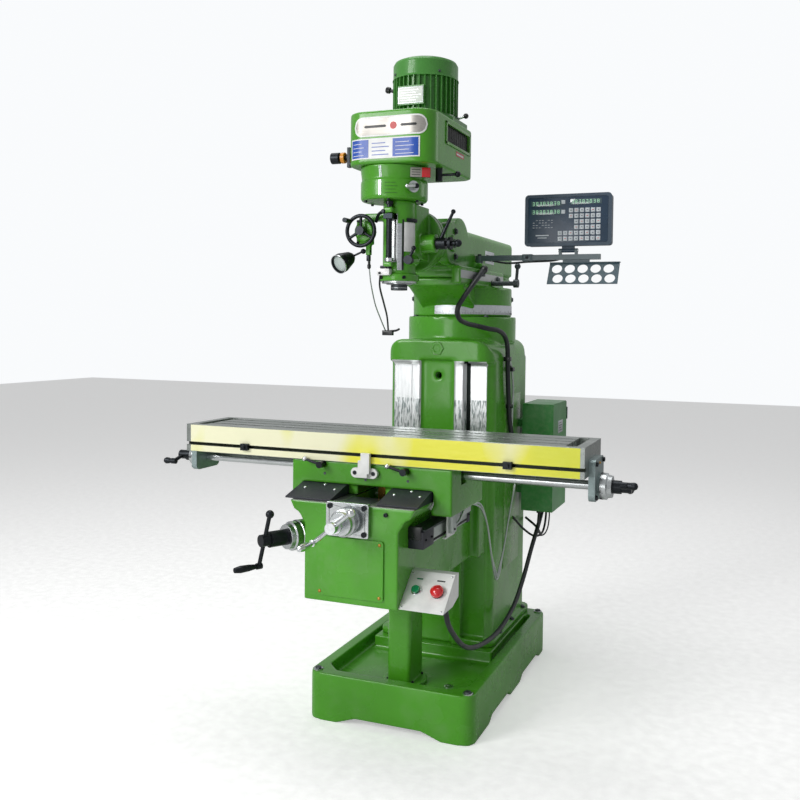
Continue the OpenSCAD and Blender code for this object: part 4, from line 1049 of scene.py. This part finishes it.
def belt_housing_details():
    s = Shape()
    front_plate(s, -0.118, 0.14, 1.983, 2.047, 0.0006, white_print, 48, True)
    front_plate(s, -0.112, 0.134, 1.988, 2.042, 0.0012, brushed_plate, 48, True)
    # plain sign of this model: a bar, a round dial and a bar
    for s0, s1 in ((-0.08, 0.0), (0.048, 0.105)):
        front_plate(s, s0, s1, 2.011, 2.019, 0.0018, black_print, 16, True)
    front_plate(s, 0.012, 0.036, 2.003, 2.027, 0.0018, red_print, 16, True)
    # blue and white plate with blank lines
    front_plate(s, -0.135, 0.115, 1.911, 1.977, 0.0006, white_print, 48)
    for s0, s1 in ((-0.13, -0.064), (0.022, 0.11)):
        front_plate(s, s0, s1, 1.915, 1.973, 0.0013, blue_print, 20)
    for row in range(4):
        z = 1.922 + row * 0.0125
        odd = row % 2
        front_plate(s, -0.052, 0.008 - 0.012 * odd, z, z + 0.0025, 0.0013, blue_print, 8)
        front_plate(s, 0.032, 0.095 - 0.015 * odd, z, z + 0.0015, 0.002, white_print, 8)
        front_plate(s, -0.122, -0.08 - 0.008 * odd, z, z + 0.0015, 0.002, white_print, 8)
    # frames of the belt windows, and in each a near-black sheet of painted shade crossed by black louvres
    for side in (-1, 1):
        middle = side * 0.1568
        for y0, y1, z0, z1 in (
            (-0.414, -0.405, 1.974, 2.05), (-0.172, -0.163, 1.974, 2.05),
            (-0.414, -0.163, 2.041, 2.05), (-0.414, -0.163, 1.974, 1.983),
        ):
            s.box((middle - 0.002, y0, z0), (middle + 0.002, y1, z1), green, 0.0012)
        screen = side * 0.1475
        s.box((screen - 0.0008, -0.412, 1.976), (screen + 0.0008, -0.165, 2.048), opening_shade, 0.0003)
        for k in range(12):
            y = -0.395 + 0.0193 * k
            s.box((screen - 0.0016, y, 1.98), (screen + 0.0016, y + 0.003, 2.044), black_plastic, 0.0004)
    # red and white label, and cover screws
    s.box((0.1545, -0.309, 1.951), (0.1556, -0.226, 1.967), red_print, 0.0002)
    s.box((0.1553, -0.303, 1.9555), (0.1559, -0.235, 1.9615), white_print, 0)
    for x, y in ((-0.115, -0.5), (0.115, -0.5), (-0.138, -0.36), (0.138, -0.36)):
        s.socket_screw((x, y, 2.0675), Z, 0.006)
    s.finish("belt_housing_plates", "head")


def gear_housing_details():
    s = Shape()
    # speed plate standing off the cone, half silver and half red
    turn = Matrix.Rotation(math.radians(30), 3, "Z")
    corner = Vector((0.0655, -0.504, 1.87))

    def tag(x0, x1, z0, z1, out, shader):
        back = Vector((x1, 0.0008, z1))
        s.box(corner + Vector((x0, -0.0008 - out, z0)), corner + back, shader, 0.0003, turn, corner)

    tag(0.0, 0.068, -0.0165, 0.0165, 0.0, dark_iron)
    tag(0.001, 0.039, -0.0155, 0.0155, 0.0006, brushed_plate)
    tag(0.039, 0.067, -0.0155, 0.0155, 0.0006, red_plastic)
    for z in (-0.009, -0.001, 0.007):
        tag(0.005, 0.034, z, z + 0.002, 0.0011, black_print)
    # feed plate: bright border strips and engraved lines on the ring
    for a in (-3.6, -0.8):
        s.wrap(GEARS, (a, a + 1.2), (1.794, 1.843), (0.1137, 0.1137), aluminium, grid=(16, 2))
        s.wrap(GEARS, (a, a + 1.2), (1.852, 1.889), (0.1101, 0.1148), aluminium, grid=(16, 2))
    for k in range(4):
        z = 1.8 + 0.011 * k
        s.wrap(GEARS, (7, 28 - 3 * (k % 2)), (z, z + 0.0008), (0.1134, 0.1134), black_print, grid=(16, 2))
    for spot, _ in around(GEARS + Z * 1.7835, 0.1, 6, -78):
        s.socket_screw(spot, -Z, 0.005)
    s.finish("gear_housing_plates", "head")


def motor_details():
    s = Shape()
    # blank rating plate
    front = -0.327
    s.box((-0.0545, front - 0.0012, 2.139), (0.0385, front + 0.0005, 2.195), aluminium, 0.0005)
    s.box((-0.052, front - 0.0018, 2.1415), (0.036, front, 2.1925), white_print, 0.0003)
    for row in range(5):
        z = 2.148 + row * 0.0088
        end = 0.012 + 0.01 * (row % 3)
        s.box((-0.045, front - 0.0021, z), (end, front - 0.001, z + 0.0012), aluminium, 0)
    # the fan cover's holes on top as near-black discs of painted shade, and its screws
    top = MOTOR + Z * high("motor").z
    hole = [(0.004, -0.001), (0.004, 0.0006), (0.003, 0.0007), (0, 0.0004)]
    for ring_radius in (0.025, 0.045, 0.065):
        for spot, _ in around(top, ring_radius, int(ring_radius * 420)):
            s.lathe(hole, spot, Z, opening_shade, 12)
    for spot, out in around(MOTOR + Z * 2.252, 0.118, 4, 45):
        s.dome_screw(spot, out, 0.005, dark_iron)
    # clamp levers of the motor plate, and an eye at the left
    for side in (-1, 1):
        s.cap((side * 0.115, -0.2, 2.092), Z, 0.011, 0.015, (0.002, 0.003), dark_iron, 24)
        lever = [(side * 0.115, -0.2, 2.1), (side * 0.135, -0.2, 2.105), (side * 0.15, -0.2, 2.11)]
        s.tube(lever, 0.004, turned_steel, 10, 4)
        s.ball((side * 0.152, -0.2, 2.11), 0.0095, black_plastic)
    eye = [(0.007, 0), (0.006, 0.012), (0.011, 0.016), (0.012, 0.026), (0.009, 0.031), (0, 0.032)]
    s.lathe(eye, (-0.103, -0.25, 2.205), (-1, -0.1, 0.25), black_plastic, 24)
    s.finish("motor_fittings", "motor")


def head_details():
    s = Shape()
    tube_radius = 0.0562
    mark_radius = tube_radius + 0.0009

    def strip(degrees, heights, shader, thickness=0.0008, radius=tube_radius):
        s.wrap(SPINDLE, degrees, heights, (radius, radius), shader, thickness)

    # depth scale right of the quill's slot, a dark trim strip and a white plate
    strip((15, 30.5), (1.552, 1.706), aluminium)
    for k in range(30):
        z = 1.556 + 0.005 * k
        wide = 8.5 if k % 5 == 0 else 6
        strip((16, 16 + wide), (z, z + 0.0008), black_print, 0.0003, mark_radius)
    strip((31.5, 37), (1.552, 1.72), black_print, 0.0014)
    strip((38, 94), (1.614, 1.711), white_enamel, 0.0012)
    strip((46, 94), (1.7125, 1.724), black_steel, 0.006)
    # clamp screws and bright face ring of the lower collar, and the trip block
    for angle in (-35.52, 35.52):
        s.socket_screw(SPINDLE + facing(angle) * 0.0675 + Z * 1.528, facing(angle), 0.006, 0.006)
    ring = [(0.0445, 0.007), (0.0445, 0.0), (0.0575, 0.0), (0.059, 0.0015), (0.059, 0.007)]
    s.lathe(ring + ring[:1], SPINDLE + Z * 1.5095, Z, turned_steel, 56)
    s.box((-0.047, -0.512, 1.534), (-0.002, -0.482, 1.556), white_enamel, 0.003)
    s.socket_screw((-0.036, -0.512, 1.541), -Y, 0.004)
    s.box((-0.036, -0.51, 1.556), (-0.014, -0.49, 1.566), black_steel, 0.002)
    # screws of the feed gear case's cover
    for x, z in product((-0.132, -0.09), (1.646, 1.718)):
        s.socket_screw((x, -0.478, z), -Y, 0.0042)
    # power-feed shift arm between the case and the window
    arm = [(-0.07, -0.468, 1.716), (-0.055, -0.486, 1.735), (-0.04, -0.5, 1.741), (-0.024, -0.512, 1.744)]
    s.tube(arm, 0.0055, black_steel, 10, 6)
    s.cap((-0.024, -0.508, 1.744), -Y, 0.007, 0.012, (0.002, 0.002), black_steel, 20)
    # black end of the lamp's post
    s.box((-0.104, -0.472, 1.584), (-0.092, -0.458, 1.6045), black_steel, 0.003)
    plug = [(0.0045, 0), (0.0045, 0.012), (0.0062, 0.014), (0.0062, 0.024), (0.003, 0.028), (0, 0.028)]
    s.lathe(plug, (-0.096, -0.465, 1.586), -Z, black_plastic, 20)
    s.finish("head_fittings", "head")

    n = Shape()
    nose = [(0.0278, 0), (0.0284, 0.0005), (0.0284, 0.002), (0.0278, 0.0025)]
    n.lathe(nose, SPINDLE + Z * 1.4935, Z, turned_steel, 48)
    n.finish("spindle_nose_ring", "spindle")


def head_hoses():
    """Two thin lines hang from the head's lower left to a cable clip."""
    h = Shape()
    thin = [
        (-0.096, -0.463, 1.56), (-0.1, -0.44, 1.51), (-0.12, -0.36, 1.443), (-0.138, -0.27, 1.39),
        (-0.148, -0.2, 1.345),
    ]
    h.tube(thin, 0.0022, turned_steel, 8, 10, 0.1)
    thick = [
        (-0.046, -0.485, 1.535), (-0.062, -0.45, 1.497), (-0.088, -0.355, 1.443), (-0.113, -0.27, 1.399),
        (-0.138, -0.2, 1.348),
    ]
    h.tube(thick, 0.0034, cable_jacket, 8, 10)
    h.box((-0.161, -0.206, 1.331), (-0.119, -0.191, 1.35), black_plastic, 0.003)
    end = [(-0.15, -0.198, 1.345), (-0.128, -0.196, 1.347), (-0.108, -0.198, 1.349), (-0.094, -0.2, 1.355)]
    h.tube(end, 0.004, black_plastic, 8, 6)
    h.finish("head_hoses", "head")


def control_details():
    """Collar, arm and lens that belong to moving controls."""
    k = Shape()
    collar = [(0.0155, -0.002), (0.0185, 0.0), (0.0185, 0.012), (0.0145, 0.014), (0.0145, -0.002)]
    k.lathe(collar, (-0.1965, -0.45, 1.939), -X, amber_plastic, 32)
    k.finish("speed_lever_base", "speed_lever")

    c = Shape()
    out = polar(-39)
    face = GEARS + Z * 1.82 + out * 0.1525
    side = Vector((-out.y, out.x, 0))
    c.cap(face, out, 0.008, 0.006, (0.002, 0.002), black_steel, 28, 0.004)
    c.tube([face + side * 0.006, face - side * 0.012, face - side * 0.034 - Z * 0.003], 0.0055, chrome, 12, 6)
    c.ball(face - side * 0.035 - Z * 0.003, 0.0068, chrome)
    c.finish("selector_arm", "feed_selector")

    g = Shape()
    arc = [math.pi / 2 * i / 8 for i in range(9)]
    dish = [(0.0295 * math.cos(a), 0.006 * math.sin(a)) for a in arc]
    aim = Vector((-0.3, -0.851, -0.4305)).normalized()
    mouth = Vector((-0.1579, -0.4699, 1.6001)) + aim * 0.06
    g.lathe(dish, mouth, aim, lamp_glass)
    rim = [(0.0335, 0.0), (0.0335, 0.003), (0.0315, 0.003), (0.0315, 0.0)]
    g.lathe(rim, mouth + aim * 0.0075, aim, chrome)
    g.finish("work_lamp_lens", "work_lamp")


# ---- Readout --------------------------------------------------------------

# bars of a seven-segment digit: offset of the middle and half size
DIGIT_WIDTH = 0.0032
DIGIT_HEIGHT = 0.0058
SEGMENTS = {
    "a": (0, DIGIT_HEIGHT), "g": (0, 0), "d": (0, -DIGIT_HEIGHT),
    "b": (DIGIT_WIDTH, DIGIT_HEIGHT / 2), "c": (DIGIT_WIDTH, -DIGIT_HEIGHT / 2),
    "f": (-DIGIT_WIDTH, DIGIT_HEIGHT / 2), "e": (-DIGIT_WIDTH, -DIGIT_HEIGHT / 2),
}
DIGITS = ["abcdef", "bc", "abged", "abgcd", "fgbc", "afgcd", "afgedc", "abc", "abcdefg", "abcdfg"]


def seven_segments(shape, x, z, y, digit):
    """One digit of a display as bars."""
    bar = 0.0007
    for name in DIGITS[digit]:
        dx, dz = SEGMENTS[name]
        half_w, half_h = (bar, DIGIT_HEIGHT / 2.3) if dx else (DIGIT_WIDTH, bar)
        lo = (x + dx - half_w, y, z + dz - half_h)
        shape.box(lo, (x + dx + half_w, y + 0.0006, z + dz + half_h), display_glow, 0)


def readout_details():
    centre_x, centre_z = 0.461, 1.766
    front, back = 0.074, 0.1235
    s = Shape()

    def panel(x, z, width, height, out, shader, bevel=0.0):
        """Raised rectangle on the console's front, placed from its middle."""
        lo = (centre_x + x - width / 2, front - 0.0008 - out, centre_z + z - height / 2)
        s.box(lo, (centre_x + x + width / 2, front, centre_z + z + height / 2), shader, bevel)

    s.box(
        (centre_x - 0.149, front - 0.0008, centre_z - 0.084),
        (centre_x + 0.149, front + 0.0005, centre_z + 0.084),
        slate_face, 0.0006,
    )
    # three displays of eight digits
    for x, z in ((-0.08, 0.062), (-0.08, 0.031), (0.067, 0.066)):
        panel(x, z, 0.116, 0.02, 0.001, display_glass, 0.0006)
        for d in range(8):
            digit_x = centre_x + x - 0.049 + d * 0.0135
            seven_segments(s, digit_x, centre_z + z, front - 0.0021, (3 + 5 * d) % 10)
    # keys with blank marks
    for row, first in enumerate((2, 2, 3, 3, 0, 0)):
        for column in range(first, 8):
            x = -0.028 + column * 0.0203
            z = 0.0345 - row * 0.0208
            panel(x, z, 0.0158, 0.0158, 0.0022, key_white, 0.0012)
            panel(x, z, 0.006, 0.0022, 0.0026, slate if (row + column) % 3 else red_print)
    for z in (0.066, 0.03):
        panel(-0.0165, z, 0.0145, 0.0145, 0.0022, key_white, 0.0012)
    # blank print
    for row, column in product(range(4), range(7)):
        if (row * 7 + column) % 4:
            panel(-0.128 + column * 0.0115, -row * 0.009, 0.007, 0.0016, 0.0003, key_white)
    panel(-0.095, -0.056, 0.05, 0.004, 0.0003, key_white)
    panel(-0.095, -0.065, 0.035, 0.0025, 0.0003, key_white)
    panel(-0.01, -0.0915, 0.02, 0.006, -0.0025, white_print, 0.0004)
    # connectors, and vents on the back as near-black strips of painted shade
    for dx in (-0.1, 0, 0.1):
        s.cap((centre_x + dx, back, centre_z - 0.06), Y, 0.0085, 0.003, (0.002, 0.0008), armour, 20, 0.001)
    for k in range(9):
        z = centre_z + 0.01 + k * 0.007
        s.box((centre_x - 0.09, back, z), (centre_x + 0.09, back + 0.0011, z + 0.003), opening_shade, 0)
    s.finish("readout_panel", "dro_console")


def readout_arm_details():
    a = Shape()
    a.socket_screw((0.113, 0.1, 1.6395), Z, 0.008, 0.007)
    pin = [(0.006, 0), (0.006, 0.002), (0, 0.003)]
    for side in (-1, 1):
        a.lathe(pin, (0.46 + side * 0.035, 0.1, 1.655), X * side, turned_steel, 20)
    # clamp collar where the arm's two tubes meet, and the readout's cable under the arm
    a.box((0.285, 0.087, 1.617), (0.325, 0.113, 1.643), arm_grey, 0.003)
    a.socket_screw((0.305, 0.087, 1.63), -Y, 0.005)
    cable = [
        (0.16, 0.118, 1.622), (0.22, 0.12, 1.612), (0.3, 0.12, 1.616), (0.4, 0.122, 1.62),
        (0.45, 0.128, 1.635),
    ]
    a.tube(cable, 0.004, cable_jacket, 8)
    a.finish("readout_arm_fittings", "dro_arm")


for build in (
    stand_details, cabinet_details, knee_details, station_details, linear_scale, looped_cables, stand_cables,
    turret_conduit, saddle_details, table_details, dial_marks, turret_details, ram_details,
    belt_housing_details, gear_housing_details, motor_details, head_details, head_hoses, control_details,
    readout_details, readout_arm_details,
):
    build()


# ---- Camera, light and floor ----------------------------------------------


def add_camera():
    yaw, pitch, roll = -0.3742, -0.031, 0.0119
    flat = Vector((math.cos(yaw), -math.sin(yaw), 0))
    level = Vector((math.sin(yaw), math.cos(yaw), 0))
    ahead = level * math.cos(pitch) + Z * math.sin(pitch)
    rise = flat.cross(ahead)
    right = flat * math.cos(roll) + rise * math.sin(roll)
    up = rise * math.cos(roll) - flat * math.sin(roll)
    data = bpy.data.cameras.new("camera")
    data.lens = 40.86
    data.sensor_width = 36
    data.shift_x = -0.02605
    data.shift_y = -0.0604
    camera = add_object("camera", data)
    basis = Matrix((right, up, -ahead)).transposed().to_4x4()
    camera.matrix_world = Matrix.Translation((1.194, -3.2622, 1.3759)) @ basis
    bpy.context.scene.camera = camera


def add_area_light(name, place, target, size, power):
    data = bpy.data.lights.new(name, "AREA")
    data.size = size
    data.energy = power
    lamp = add_object(name, data)
    lamp.location = place
    lamp.rotation_euler = (Vector(target) - Vector(place)).to_track_quat("-Z", "Y").to_euler()


def add_backdrop():
    """The backdrop looks white, but lights the machine softly and is dim in reflections."""
    world = bpy.data.worlds.new("studio")
    world.use_nodes = True
    bpy.context.scene.world = world
    w = Nodes(world.node_tree)
    rays = w.node("ShaderNodeLightPath").outputs
    mirrored = w.math("MULTIPLY_ADD", rays["Is Glossy Ray"], 0.3, 0.2)
    seen = w.math("MULTIPLY_ADD", rays["Is Camera Ray"], 0.78, mirrored)
    background = w.tree.nodes["Background"].inputs
    w.feed(background["Color"], (0.97, 0.985, 1.0, 1))
    w.feed(background["Strength"], seen)


def add_floor():
    half = 14
    corners = [(-half, -half, 0), (half, -half, 0), (half, half, 0), (-half, half, 0)]
    mesh = bpy.data.meshes.new("floor")
    mesh.from_pydata(corners, [], [(0, 1, 2, 3)])
    pale = plain("pale_floor", "F6F6F5", 0.8, 40, 0.0002, Emission_Color=(1, 1, 1, 1))
    pale.set("Emission Strength", pale.times(pale.node("ShaderNodeLightPath").outputs["Is Camera Ray"], 0.4))
    mesh.materials.append(pale.material)
    add_object("floor", mesh)


add_camera()
add_backdrop()
add_floor()
add_area_light("key", (-2.6, -4.4, 3.2), (0, -0.3, 1.1), 2.0, 138)
add_area_light("front", (-0.9, -4.8, 1.3), (0, -0.3, 0.9), 1.6, 30)
add_area_light("top", (-0.4, 0.0, 4.8), (0, 0, 1), 2.4, 70)
add_area_light("rim", (3.0, 2.6, 2.8), (0, 0, 1.4), 1.4, 10)
bpy.context.scene.view_settings.view_transform = "Standard"
